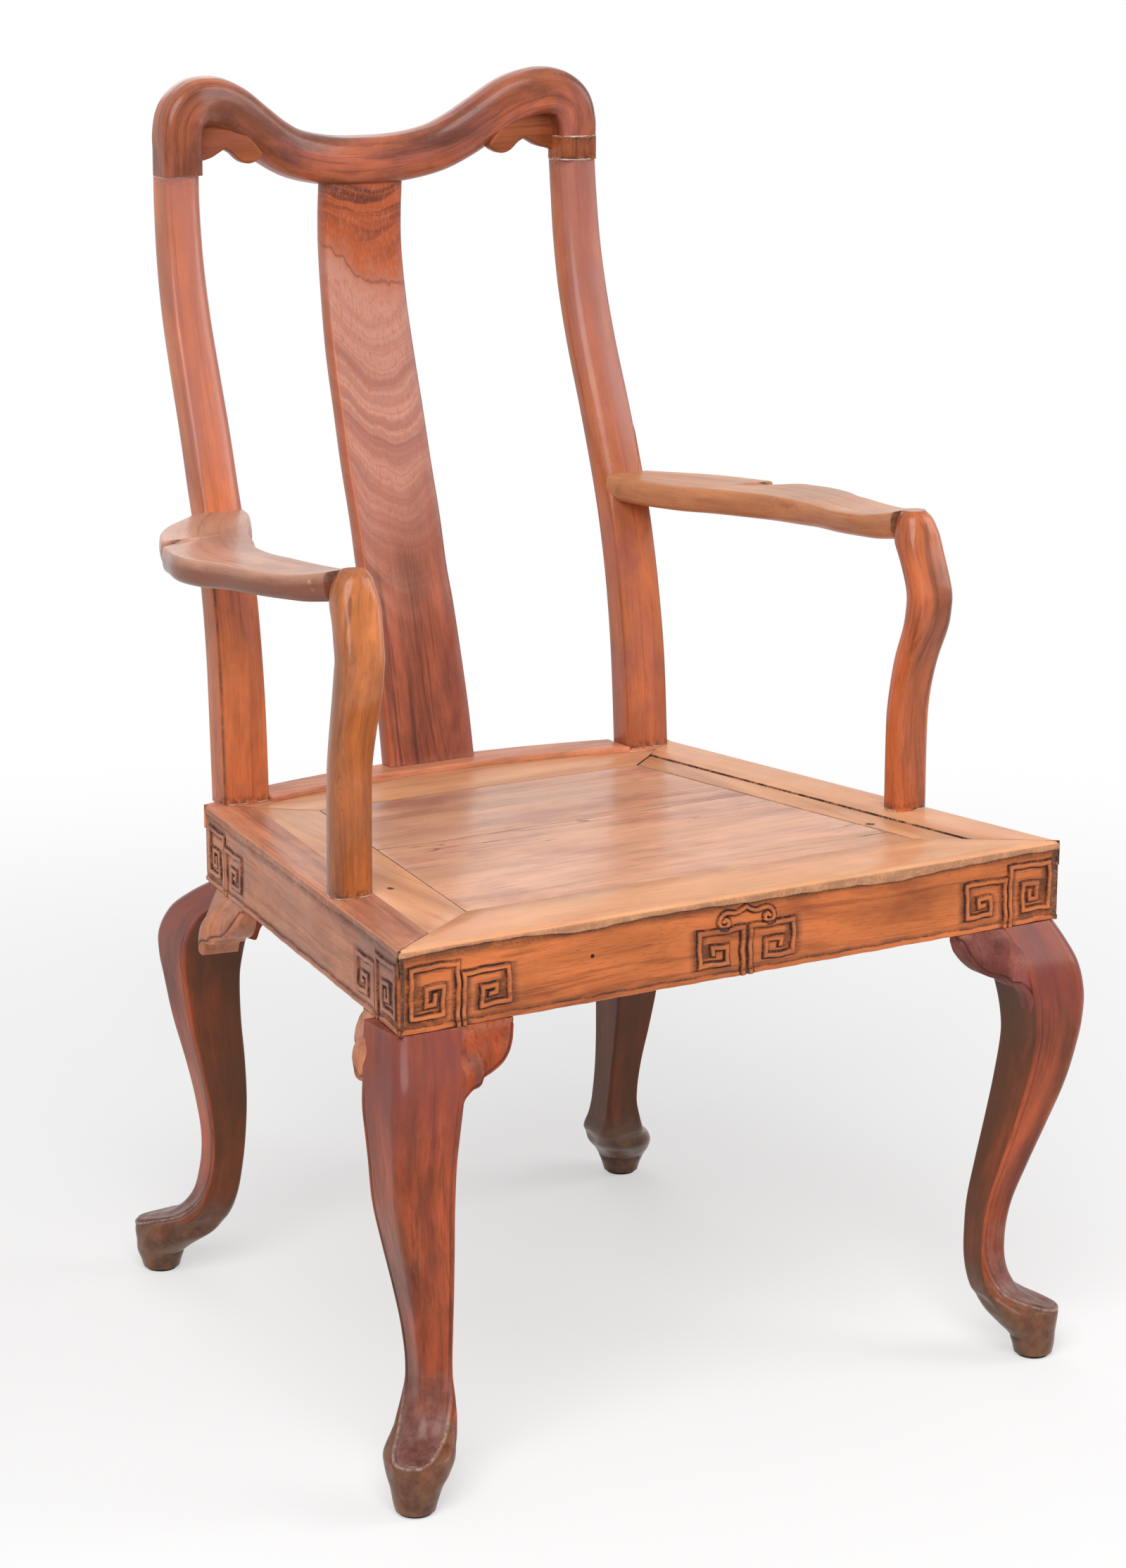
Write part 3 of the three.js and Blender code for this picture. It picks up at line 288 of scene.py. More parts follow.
# Fret bars on the aprons: distance from the corner, height above the lower edge
TALL_FRET = (
    (55.2, 1.5), (55.2, 52.0), (13.0, 52.0), (13.0, 12.5), (41.5, 12.5), (41.5, 35.0), (26.5, 35.0),
    (26.5, 21.5), (34.0, 21.5), (34.0, 28.5),
)
LOW_FRET = (
    (60.8, 1.5), (60.8, 42.5), (102.0, 42.5), (102.0, 14.3), (77.0, 14.3), (77.0, 28.8),
    (89.5, 28.8), (89.5, 22.5), (84.5, 22.5),
)
# The middle of the front apron: distance from its middle line
MIDDLE_FRET = (
    (3.7, 1.5), (3.7, 40.5), (46.6, 40.5), (46.6, 13.0), (19.5, 13.0), (19.5, 27.3), (33.8, 27.3),
    (33.8, 22.0),
)
SCROLL = (
    (0.0, 58.0), (3.4, 56.0), (7.4, 54.2), (11.6, 53.8), (15.7, 54.9), (20.2, 55.6), (24.2, 54.0),
    (26.9, 51.0), (27.6, 47.3), (26.0, 44.2), (21.4, 43.6), (18.4, 45.6), (18.6, 48.9),
    (21.2, 50.2), (23.2, 48.4),
)
# Lower line of the front board's worn lip: distance from the left corner, height
FRONT_LIP = (
    (0.0, 462.7), (103.0, 464.4), (169.0, 460.2), (246.0, 462.8), (328.0, 461.1), (432.0, 459.7),
    (473.0, 457.1), (515.0, 459.0), (608.0, 461.7), (657.0, 461.4),
)
SIDE_LIP = (
    (0.0, 461.5), (90.0, 463.0), (190.0, 460.6), (300.0, 461.8), (400.0, 459.8), (510.0, 461.0),
)


# Shapes


def smooth_table(rows):
    """Smooth values between the rows of a table, whose first column is the place."""
    table = np.array(sorted(rows), float)
    places, values = table[:, 0], table[:, 1:]
    last = len(places) - 1
    before = np.maximum(np.arange(len(places)) - 1, 0)
    after = np.minimum(np.arange(len(places)) + 1, last)
    slopes = (values[after] - values[before]) / (places[after] - places[before])[:, None]

    def at(place):
        row = np.clip(np.searchsorted(places, place) - 1, 0, last - 1)
        span = (places[row + 1] - places[row])[..., None]
        t = (np.asarray(place)[..., None] - places[row][..., None]) / span
        rise = values[row] * (2 * t**3 - 3 * t**2 + 1) + values[row + 1] * (3 * t**2 - 2 * t**3)
        return rise + span * (slopes[row] * (t**3 - 2 * t**2 + t) + slopes[row + 1] * (t**3 - t**2))

    return at


def smooth_step(low, high, value):
    t = np.clip((np.asarray(value, float) - low) / (high - low), 0, 1)
    return t * t * (3 - 2 * t)


def hump(value, middle, width):
    return np.exp(-(((np.asarray(value, float) - middle) / width) ** 2))


def section(width, depth, radii, turns=7, flats=4, crown=0.0):
    """Points round a bar's section, from its (+, +) corner on, each face a little crowned."""
    arcs = []
    for quarter, ((right, up), radius) in enumerate(zip(((1, 1), (-1, 1), (-1, -1), (1, -1)), radii)):
        angle = (quarter + np.linspace(0, 1, turns)) * math.pi / 2
        across = right * (width / 2 - radius) + radius * np.cos(angle)
        deep = up * (depth / 2 - radius) + radius * np.sin(angle)
        arcs.append(np.stack([across, deep], 1))
    ring = []
    for quarter in range(4):
        start, end = arcs[quarter][-1], arcs[(quarter + 1) % 4][0]
        out = np.array([math.cos((quarter + 1) * math.pi / 2), math.sin((quarter + 1) * math.pi / 2)])
        ring.append(arcs[quarter])
        t = (np.arange(flats) + 1)[:, None] / (flats + 1)
        ring.append(start + (end - start) * t + out * crown * (1 - (2 * t - 1) ** 2))
    return np.concatenate(ring)


def loft(bm, rings, lies, stain_and_shade_rows=None):
    """Draws a ring of points out, section by section, closes both ends, and keeps how the grain lies.

    The darkness given per point marks dirt, stains and wax, and painted shade in grooves, in the beak's
    notch and under the seat's lip.
    """
    grain = bm.verts.layers.float_vector.new("grain")
    stain = bm.verts.layers.float.new("stain_and_shade") if stain_and_shade_rows else None
    count = len(rings[0])
    row = [bm.verts.new(point) for point in rings[0]]
    edges = [bm.edges.new((row[k], row[(k + 1) % count])) for k in range(count)]
    first = list(edges)
    rows = [row]
    for ring in rings[1:]:
        made = bmesh.ops.extrude_edge_only(bm, edges=edges)["geom"]
        fresh = {item for item in made if isinstance(item, bmesh.types.BMVert)}
        new_row = []
        for vert, point in zip(row, ring):
            partner = next(e.other_vert(vert) for e in vert.link_edges if e.other_vert(vert) in fresh)
            partner.co = point
            new_row.append(partner)
        edges = [bm.edges.get((new_row[k], new_row[(k + 1) % count])) for k in range(count)]
        row = new_row
        rows.append(row)
    bmesh.ops.contextual_create(bm, geom=first)
    bmesh.ops.contextual_create(bm, geom=edges)
    for row, places in zip(rows, lies):
        for vert, place in zip(row, places):
            vert[grain] = place
    for row, darks in zip(rows, stain_and_shade_rows or ()):
        for vert, dark in zip(row, darks):
            vert[stain] = float(dark)
    return rows


def slab(bm, outline, bottom, top, soften=1.2, grid=24.0):
    """A board sawn to an outline in plan, its arrises eased and its faces cut so they can be worn."""
    rim = [bm.verts.new((x, y, bottom)) for x, y in outline]
    base = bm.faces.new(rim)
    made = bmesh.ops.extrude_face_region(bm, geom=[base])["geom"]
    raised = [item for item in made if isinstance(item, bmesh.types.BMVert)]
    bmesh.ops.translate(bm, verts=raised, vec=(0, 0, top - bottom))
    verts = rim + raised
    edges = list({edge for vert in verts for edge in vert.link_edges})
    sharp = [edge for edge in edges if len(edge.link_faces) == 2 and edge.calc_face_angle(0) > 0.35]
    beveled = bmesh.ops.bevel(
        bm, geom=sharp, offset=soften, offset_type="OFFSET", segments=3, profile=0.5, affect="EDGES",
        material=-1,
    )
    verts = list({v for face in beveled["faces"] for v in face.verts})
    faces = list({face for vert in verts for face in vert.link_faces})
    for axis in range(2):
        values = [vert.co[axis] for vert in verts]
        for step in np.arange(min(values) + grid / 2, max(values), grid):
            point, normal = Vector((0, 0, 0)), Vector((0, 0, 0))
            point[axis], normal[axis] = step, 1
            parts = set(faces) | {e for f in faces for e in f.edges} | {v for f in faces for v in f.verts}
            parts = list(parts)
            cut = bmesh.ops.bisect_plane(bm, geom=parts, dist=0.001, plane_co=point, plane_no=normal)
            made = {item for item in cut["geom"] if isinstance(item, bmesh.types.BMFace)}
            faces = list(made | set(faces))
            faces = [face for face in faces if face.is_valid]


def keep_side(bm, point, normal, beyond=0.0):
    """Cuts a closed piece with a plane, keeps what lies behind the plane and closes the cut."""
    faces = [face for face in bm.faces if all(abs(vert.co.x) >= beyond for vert in face.verts)]
    geometry = {v for f in faces for v in f.verts} | {e for f in faces for e in f.edges} | set(faces)
    geometry = list(geometry)
    cut = bmesh.ops.bisect_plane(
        bm, geom=geometry, dist=0.0001, plane_co=point, plane_no=normal, clear_outer=True
    )
    rim = [item for item in cut["geom_cut"] if isinstance(item, bmesh.types.BMEdge)]
    bmesh.ops.holes_fill(bm, edges=rim, sides=0)


def mark_wear(mesh, reach, scale):
    """Notes where a surface is hollow or stands proud, by how far a smoothed copy lies off it."""
    count = len(mesh.vertices)
    points = np.empty(count * 3, np.float32)
    normals = np.empty(count * 3, np.float32)
    ends = np.empty(len(mesh.edges) * 2, np.int32)
    mesh.vertices.foreach_get("co", points)
    mesh.vertices.foreach_get("normal", normals)
    mesh.edges.foreach_get("vertices", ends)
    points, normals = points.reshape(-1, 3), normals.reshape(-1, 3)
    a, b = ends.reshape(-1, 2).T
    degree = np.maximum(np.bincount(ends, minlength=count), 1)[:, None]
    calm = points.copy()
    for _ in range(reach):
        total = np.zeros_like(calm)
        np.add.at(total, a, calm[b])
        np.add.at(total, b, calm[a])
        calm = (calm + total / degree) / 2
    proud = ((points - calm) * normals).sum(1) / (MM * scale)
    for name, values in (("edge", proud), ("hollow", -proud)):
        layer = mesh.attributes.new(name, "FLOAT", "POINT")
        layer.data.foreach_set("value", np.clip(values, 0, 1).astype(np.float32))


def add_object(name, data):
    """Puts an object in the scene."""
    made = bpy.data.objects.new(name, data)
    bpy.context.scene.collection.objects.link(made)
    return made


def finish_piece(name, bm, material, node="", side="right", lie=None, stain_and_shade=None, reach=4, scale=0.5):
    """Moves a piece from the plan to the frame, marks its grain and wear, and lets it ride on the chair.

    A left-hand piece is drawn as its right-hand partner, and mirrored here.
    """
    if side == "left":
        bm.transform(Matrix.Scale(-1, 4, (1, 0, 0)))
        bm.normal_update()
    bmesh.ops.recalc_face_normals(bm, faces=bm.faces)
    mesh = bpy.data.meshes.new(name)
    bm.to_mesh(mesh)
    bm.free()
    points = np.empty(len(mesh.vertices) * 3, np.float32)
    mesh.vertices.foreach_get("co", points)
    points = points.reshape(-1, 3)
    if lie is not None:
        grain = mesh.attributes.get("grain") or mesh.attributes.new("grain", "FLOAT_VECTOR", "POINT")
        grain.data.foreach_set("vector", np.asarray(lie(points), np.float32).ravel())
    grain = mesh.attributes["grain"]
    lies = np.empty(len(mesh.vertices) * 3, np.float32)
    grain.data.foreach_get("vector", lies)
    grain.data.foreach_set("vector", lies * MM)
    if stain_and_shade is not None:
        layer = mesh.attributes.new("stain_and_shade", "FLOAT", "POINT")
        layer.data.foreach_set("value", np.clip(stain_and_shade(points), 0, 1).astype(np.float32))
    mesh.transform(TO_FRAME)
    mesh.shade_smooth()
    mesh.set_sharp_from_angle(angle=math.radians(38))
    mark_wear(mesh, reach, scale)
    mesh.materials.append(material)
    piece = add_object(name, mesh)
    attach(piece, BODY)
    if node:
        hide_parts(node)
    return piece


# Materials


def new_material(name):
    """An empty material, and the bench its nodes are laid out on."""
    material = bpy.data.materials.new(name)
    material.use_nodes = True
    material.node_tree.nodes.clear()
    return material, Bench(material.node_tree)


def tint(red, green, blue):
    """A colour as it looks, from 0 to 255, made linear."""
    shares = [value / 255 for value in (red, green, blue)]
    return tuple(v / 12.92 if v <= 0.04045 else ((v + 0.055) / 1.055) ** 2.4 for v in shares) + (1.0,)


class Bench:
    """Sets shader nodes out in one tree, and feeds each socket with a value or another socket."""

    def __init__(self, tree):
        self.tree = tree

    def feed(self, socket, value):
        if isinstance(value, bpy.types.NodeSocket):
            self.tree.links.new(value, socket)
        else:
            socket.default_value = value

    def node(self, kind, options=None, values=(), **inputs):
        made = self.tree.nodes.new(kind)
        for key, value in (options or {}).items():
            setattr(made, key, value)
        for socket, value in zip(made.inputs, values):
            self.feed(socket, value)
        for key, value in inputs.items():
            self.feed(made.inputs[key.replace("_", " ")], value)
        return made

    def blend(self, share, *shaders):
        values = (share, *(shader.outputs[0] for shader in shaders))
        return self.node("ShaderNodeMixShader", values=values)

    def maths(self, operation, *values, clamp=False):
        options = {"operation": operation, "use_clamp": clamp}
        return self.node("ShaderNodeMath", options, values).outputs[0]

    def times(self, *values, clamp=False):
        return self.maths("MULTIPLY", *values, clamp=clamp)

    def plus(self, *values, clamp=False):
        return self.maths("ADD", *values, clamp=clamp)

    def less(self, *values):
        return self.maths("SUBTRACT", *values)

    def vector(self, operation, *values, output="Vector", **inputs):
        made = self.node("ShaderNodeVectorMath", {"operation": operation}, values, **inputs)
        return made.outputs[output]

    def axis(self, vector, name):
        return self.node("ShaderNodeSeparateXYZ", Vector=vector).outputs[name]

    def spread(self, value, low, high, to_low=0.0, to_high=1.0):
        values = (value, low, high, to_low, to_high)
        return self.node("ShaderNodeMapRange", {"interpolation_type": "SMOOTHSTEP"}, values).outputs[0]

    def mix(self, share, first, second, blend="MIX"):
        made = self.node("ShaderNodeMix", {"data_type": "RGBA", "blend_type": blend})
        for index, item in ((0, share), (6, first), (7, second)):
            self.feed(made.inputs[index], item)
        return made.outputs[2]

    def noise(self, vector, scale, detail=3.0, roughness=0.55, distortion=0.0, output="Fac"):
        place = self.vector("MULTIPLY", vector, scale)
        made = self.node(
            "ShaderNodeTexNoise", Vector=place, Scale=1.0, Detail=detail, Roughness=roughness,
            Distortion=distortion,
        )
        return made.outputs[output]

    def attribute(self, name, output="Fac"):
        return self.node("ShaderNodeAttribute", {"attribute_name": name}).outputs[output]

    def group(self, effect, **inputs):
        return self.node("ShaderNodeGroup", {"node_tree": effect()}, **inputs).outputs


def shader_group(name, inputs, outputs):
    """Turns a function that lays nodes out into one that gives the node group, laid out on its first use.

    A socket is named with its kind, or with the default of a float or a colour.
    """

    def wrap(lay_out):
        def effect():
            if name in bpy.data.node_groups:
                return bpy.data.node_groups[name]
            tree = bpy.data.node_groups.new(name, "ShaderNodeTree")
            for direction, sockets in (("INPUT", inputs), ("OUTPUT", outputs)):
                for label, item in sockets.items():
                    preset = not isinstance(item, str)
                    kind = ("Float" if isinstance(item, float) else "Color") if preset else item
                    socket = tree.interface.new_socket(
                        label, in_out=direction, socket_type="NodeSocket" + kind
                    )
                    if preset:
                        socket.default_value = item
            entry = tree.nodes.new("NodeGroupInput")
            leave = tree.nodes.new("NodeGroupOutput")
            lay_out(Bench(tree), entry.outputs, leave.inputs)
            return tree

        return effect

    return wrap


@shader_group(
    "Timber grain",
    {
        "Grain": "Vector", "Light": "Color", "Body": "Color", "Dark": "Color", "Bloom": "Color",
        "Streaks": 0.5, "Bloom amount": 0.3, "Wave": 0.01, "Fine": 0.2, "Cracks": 0.0, "Width": 1.0,
        "Cloudy": 0.2,
    },
    {"Colour": "Color", "Height": "Float"},
)
def timber_grain(bench, entry, leave):
    """Grain of an oily hardwood: broad bands, thin streaks, fibres, purple bloom and drying cracks."""
    grain = entry["Grain"]
    drift = bench.noise(grain, (3.0, 11.0, 11.0), 2.0, output="Color")
    drift = bench.vector("SUBTRACT", drift, (0.5, 0.5, 0.5))
    drift = bench.vector("MULTIPLY", drift, (0.3, 1.0, 1.0))
    drawn = bench.vector("ADD", grain, bench.vector("SCALE", drift, Scale=entry["Wave"]))
    drawn = bench.vector("SCALE", drawn, Scale=entry["Width"])
    broad = bench.noise(drawn, (1.9, 30.0, 30.0), 4.0, 0.6)
    thin = bench.noise(drawn, (4.0, 150.0, 150.0), 4.0, 0.65)
    line = bench.noise(drawn, (7.0, 520.0, 520.0), 2.0, 0.6)
    fibre = bench.noise(drawn, (70.0, 1500.0, 1500.0), 2.0, 0.6)
    figure = bench.noise(drawn, (3.2, 70.0, 70.0), 3.0, 0.6)
    ground = bench.plus(bench.times(broad, 0.65), bench.times(figure, 0.35))
    colour = bench.mix(bench.spread(ground, 0.4, 0.62), entry["Body"], entry["Light"])
    sunk = bench.times(bench.spread(ground, 0.45, 0.33), bench.times(entry["Streaks"], 0.7))
    colour = bench.mix(sunk, colour, entry["Dark"])
    clouds = bench.noise(grain, (7.0, 16.0, 16.0), 4.0, 0.6, 0.4)
    bloom = bench.times(bench.spread(clouds, 0.47, 0.66), entry["Bloom amount"])
    colour = bench.mix(bloom, colour, entry["Bloom"])
    cloud = bench.noise(grain, (8.0, 26.0, 26.0), 4.0, 0.62, 0.3)
    dimmed = bench.less(1.0, entry["Cloudy"])
    lit = bench.plus(1.0, bench.times(entry["Cloudy"], 0.6))
    colour = bench.mix(1.0, colour, bench.spread(cloud, 0.3, 0.68, dimmed, lit), "MULTIPLY")
    streak = bench.times(bench.spread(thin, 0.5, 0.7), entry["Streaks"])
    colour = bench.mix(streak, colour, entry["Dark"])
    hair = bench.times(bench.spread(line, 0.56, 0.78), entry["Streaks"])
    colour = bench.mix(bench.times(hair, 0.7), colour, entry["Dark"])
    pores = bench.spread(fibre, 0.56, 0.72)
    pore_shade = bench.times(pores, entry["Fine"])
    colour = bench.mix(pore_shade, colour, entry["Dark"])
    shine = bench.times(bench.spread(fibre, 0.42, 0.3), entry["Fine"])
    colour = bench.mix(bench.times(shine, 0.6), colour, entry["Light"])
    split = bench.noise(drawn, (2.4, 42.0, 42.0), 2.0, 0.5)
    split = bench.maths("ABSOLUTE", bench.less(split, 0.5))
    gate = bench.spread(bench.noise(grain, (6.0, 11.0, 11.0), 1.0), 0.6, 0.66)
    split = bench.times(bench.spread(split, 0.009, 0.002), gate)
    split = bench.times(split, entry["Cracks"])
    bench.feed(leave["Colour"], bench.mix(split, colour, tint(46, 26, 22)))
    height = bench.less(bench.times(thin, 0.5), bench.times(pores, 0.35))
    bench.feed(leave["Height"], bench.less(height, bench.times(split, 1.5)))


@shader_group(
    "Crotch figure",
    {"Grain": "Vector", "Plain": "Color", "Pale": "Color", "Band": "Color", "Cap": "Color", "Ink": "Color"},
    {"Colour": "Color"},
)
def crotch_figure(bench, entry, leave):
    """Figure of a splat sawn from a forked trunk: a dark cap, a pale field and sagging bands below it."""
    height, across = bench.axis(entry["Grain"], "X"), bench.axis(entry["Grain"], "Y")
    sway = bench.noise(entry["Grain"], (6.0, 15.0, 15.0), 3.0, 0.5, 0.4)
    curl = bench.noise(entry["Grain"], (34.0, 60.0, 60.0), 3.0, 0.55)
    off = bench.less(across, 0.006)
    sag = bench.times(bench.times(off, off), 15.0)
    level = bench.less(height, sag)
    level = bench.plus(level, bench.times(sway, 0.05))
    level = bench.plus(level, bench.times(curl, 0.007))
    ring = bench.node("ShaderNodeCombineXYZ", X=level).outputs[0]
    broad = bench.noise(ring, (44.0, 1.0, 1.0), 2.0, 0.5)
    close = bench.noise(ring, (120.0, 1.0, 1.0), 2.0, 0.6)
    line = bench.maths("ABSOLUTE", bench.less(close, 0.5))
    banded = bench.times(bench.spread(broad, 0.36, 0.64), 0.6)
    lined = bench.times(bench.spread(line, 0.04, 0.0), 0.28)
    fade = bench.spread(level, 0.94, 0.86, 0.25, 1.0)
    field = bench.mix(bench.times(banded, fade), entry["Pale"], entry["Band"])
    field = bench.mix(bench.times(lined, fade), field, entry["Band"])
    speck = bench.noise(entry["Grain"], (150.0, 480.0, 480.0), 2.0, 0.6)
    field = bench.mix(bench.times(bench.spread(speck, 0.48, 0.72), 0.5), field, entry["Cap"])
    low = bench.plus(height, bench.times(across, -0.9))
    low = bench.plus(low, bench.times(sway, 0.16))
    colour = bench.mix(bench.spread(low, 0.67, 0.85), entry["Plain"], field)
    wavy = bench.plus(height, bench.times(across, 0.5))
    wavy = bench.plus(wavy, bench.times(bench.less(sway, 0.5), 0.06))
    wavy = bench.plus(wavy, bench.times(bench.less(curl, 0.5), 0.03))
    flame = bench.noise(bench.vector("ADD", entry["Grain"], ring), (44.0, 12.0, 12.0), 2.0, 0.5, 0.8)
    licks = bench.spread(flame, 0.44, 0.66)
    licks = bench.times(licks, bench.spread(wavy, 0.95, 1.0, 0.15, 0.9))
    cap = bench.mix(licks, entry["Cap"], entry["Ink"])
    cap = bench.mix(bench.times(bench.spread(speck, 0.48, 0.72), 0.3), cap, entry["Pale"])
    colour = bench.mix(bench.spread(wavy, 0.912, 0.955), colour, cap)
    rim = bench.maths("ABSOLUTE", bench.less(wavy, 0.935))
    colour = bench.mix(bench.times(bench.spread(rim, 0.003, 0.0005), 0.45), colour, entry["Ink"])
    dusk = bench.plus(across, bench.times(curl, 0.012))
    browned = bench.times(bench.spread(dusk, 0.034, 0.054), 0.7)
    colour = bench.mix(browned, colour, entry["Band"])
    rubbed = bench.times(bench.spread(across, -0.04, -0.0435), 0.7)
    colour = bench.mix(rubbed, colour, entry["Cap"])
    bench.feed(leave["Colour"], colour)


@shader_group(
    "Old polish",
    {
        "Colour": "Color", "Place": "Vector", "Hollow": 0.0, "Edge": 0.0, "Ink": 0.0,
        "Wax": tint(52, 34, 30), "Rubbed": tint(214, 168, 140), "Wax amount": 0.7, "Rub amount": 0.5,
    },
    {"Colour": "Color", "Dull": "Float"},
)
def old_polish(bench, entry, leave):
    """Old polish: dark wax left in hollows and carved lines, and arrises rubbed pale. The Ink input also
    brings painted shade in grooves and the beak's notch and a painted shadow under the seat's lip, drawn in
    the Wax colour.
    """
    patches = bench.noise(entry["Place"], (55.0, 55.0, 55.0), 4.0, 0.65)
    fleck = bench.noise(entry["Place"], (420.0, 420.0, 420.0), 3.0, 0.6)
    broken = bench.plus(bench.times(patches, 0.7), bench.times(fleck, 0.5))
    # The Ink marks: dirt and dark wax, and painted shade and painted shadow, all in the Wax colour.
    stained_and_shaded = bench.times(entry["Ink"], bench.spread(broken, 0.42, 0.68, 0.45, 1.25), clamp=True)
    waxed = bench.times(entry["Hollow"], bench.spread(broken, 0.45, 0.7, 0.3, 1.0), clamp=True)
    wax = bench.maths("MAXIMUM", stained_and_shaded, bench.times(waxed, entry["Wax amount"]))
    rubbed = bench.times(entry["Edge"], bench.spread(broken, 0.5, 0.7, 0.1, 1.0), clamp=True)
    rubbed = bench.times(rubbed, entry["Rub amount"])
    worn = bench.mix(rubbed, entry["Colour"], entry["Rubbed"])
    bench.feed(leave["Colour"], bench.mix(wax, worn, entry["Wax"]))
    bench.feed(leave["Dull"], wax)


@shader_group(
    "Glue line", {"Colour": "Color", "Place": "Vector", "Height": 0.5}, {"Colour": "Color"}
)
def glue_line(bench, entry, leave):
    """A glued joint at a height: a dark stain round it and a broken pale line of glue."""
    height = bench.axis(entry["Place"], "Z")
    flecks = bench.noise(entry["Place"], (190.0, 190.0, 190.0), 3.0, 0.6)
    wander = bench.noise(entry["Place"], (90.0, 90.0, 20.0), 2.0, 0.5)
    run = bench.plus(height, bench.times(bench.less(wander, 0.5), 0.003))
    gap = bench.maths("ABSOLUTE", bench.less(run, entry["Height"]))
    stained = bench.times(bench.spread(gap, 0.011, 0.0008), bench.spread(flecks, 0.4, 0.62))
    colour = bench.mix(bench.times(stained, 0.65), entry["Colour"], tint(56, 30, 26))
    squeezed = bench.times(bench.spread(gap, 0.0015, 0.0007), bench.spread(flecks, 0.42, 0.52))
    bench.feed(leave["Colour"], bench.mix(bench.times(squeezed, 0.75), colour, tint(226, 208, 194)))


@shader_group(
    "Shaded underside",
    {"Colour": "Color", "Place": "Vector", "Grain": "Vector", "Amount": 0.5},
    {"Colour": "Color"},
)
def shaded_underside(bench, entry, leave):
    """Painted shade on the lower sides of an arm, darker and redder than its top."""
    deep = bench.axis(entry["Grain"], "Z")
    clouded = bench.noise(entry["Place"], (30.0, 30.0, 30.0), 3.0, 0.6)
    deep = bench.plus(deep, bench.times(clouded, 0.006))
    shaded = bench.times(bench.spread(deep, 0.0125, 0.003), entry["Amount"])
    bench.feed(leave["Colour"], bench.mix(shaded, entry["Colour"], tint(124, 66, 46)))


@shader_group(
    "Trodden and shaded leg",
    {
        "Colour": "Color", "Place": "Vector", "Grain": "Vector", "Inner face": 0.0, "Hollow": 0.0,
        "Rim": 0.0,
    },
    {"Colour": "Color"},
)
def trodden_leg(bench, entry, leave):
    """A leg's wear and painted shade: painted shade on its inner faces, a purple knee, a grey hollow in the
    foot and a kicked, dirty toe.
    """
    place, grain, hollow = entry["Place"], entry["Grain"], entry["Hollow"]
    height = bench.axis(place, "Z")
    flecks = bench.noise(place, (190.0, 190.0, 190.0), 3.0, 0.6)
    cloud = bench.noise(grain, (9.0, 24.0, 24.0), 3.0, 0.6)
    # Painted shade on the inner faces.
    inner = bench.times(entry["Inner face"], bench.spread(cloud, 0.36, 0.62, 0.65, 0.97))
    colour = bench.mix(inner, entry["Colour"], tint(86, 50, 26))
    knee = bench.times(bench.spread(height, 0.28, 0.36), bench.spread(cloud, 0.4, 0.6, 0.5, 0.9))
    outer = bench.less(1.0, entry["Inner face"])
    colour = bench.mix(bench.times(knee, outer), colour, tint(122, 60, 54))
    drift = bench.times(bench.noise(place, (38.0, 38.0, 38.0), 3.0), 0.09)
    level = bench.plus(height, bench.plus(bench.times(flecks, 0.012), drift))
    grey = bench.times(bench.spread(level, 0.19, 0.11), bench.times(hollow, 0.85))
    scuffed = bench.noise(place, (70.0, 70.0, 70.0), 4.0, 0.65)
    dust = bench.mix(bench.spread(scuffed, 0.35, 0.65), tint(92, 60, 54), tint(126, 92, 86))
    colour = bench.mix(grey, colour, dust)
    kicked = bench.times(bench.spread(level, 0.15, 0.09), bench.less(1.0, hollow))
    dirt = bench.mix(bench.spread(scuffed, 0.32, 0.66), tint(80, 56, 44), tint(116, 84, 62))
    colour = bench.mix(bench.times(kicked, 0.85), colour, dirt)
    bared = bench.times(entry["Rim"], bench.spread(level, 0.16, 0.1))
    bared = bench.times(bared, bench.spread(flecks, 0.38, 0.6, 0.1, 0.6))
    bench.feed(leave["Colour"], bench.mix(bared, colour, tint(190, 164, 150)))


@shader_group(
    "Small mark",
    {"Colour": "Color", "Place": "Vector", "Centre": "Vector", "Size": 0.002, "Mark": "Color"},
    {"Colour": "Color"},
)
def small_mark(bench, entry, leave):
    """A small ragged mark at one place, such as a knot, a nail hole or a chip."""
    away = bench.vector("DISTANCE", entry["Place"], entry["Centre"], output="Value")
    reach = bench.maths("DIVIDE", away, entry["Size"])
    reach = bench.plus(reach, bench.noise(entry["Place"], (300.0, 300.0, 300.0), 2.0))
    bench.feed(leave["Colour"], bench.mix(bench.spread(reach, 1.6, 1.3), entry["Colour"], entry["Mark"]))


@shader_group(
    "Post bloom and sheen",
    {"Colour": "Color", "Place": "Vector", "Grain": "Vector", "Lie": "Vector"},
    {"Colour": "Color", "Amount": "Float"},
)
def post_bloom_and_sheen(bench, entry, leave):
    """Purple bloom and a painted sheen on a post's front faces above the arms."""
    height = bench.axis(entry["Place"], "Z")
    deep = bench.axis(entry["Lie"], "Z")
    bloom_and_sheen = bench.times(bench.spread(height, 0.715, 0.8), bench.spread(deep, 0.001, -0.009))
    patches = bench.noise(entry["Grain"], (6.0, 20.0, 20.0), 3.0)
    bloom_and_sheen = bench.times(bloom_and_sheen, bench.spread(patches, 0.36, 0.6, 0.35, 0.95))
    # The pale purple is the wood's bloom with a painted sheen.
    share = bench.times(bloom_and_sheen, 0.7)
    bench.feed(leave["Colour"], bench.mix(share, entry["Colour"], tint(166, 106, 98)))
    bench.feed(leave["Amount"], bloom_and_sheen)


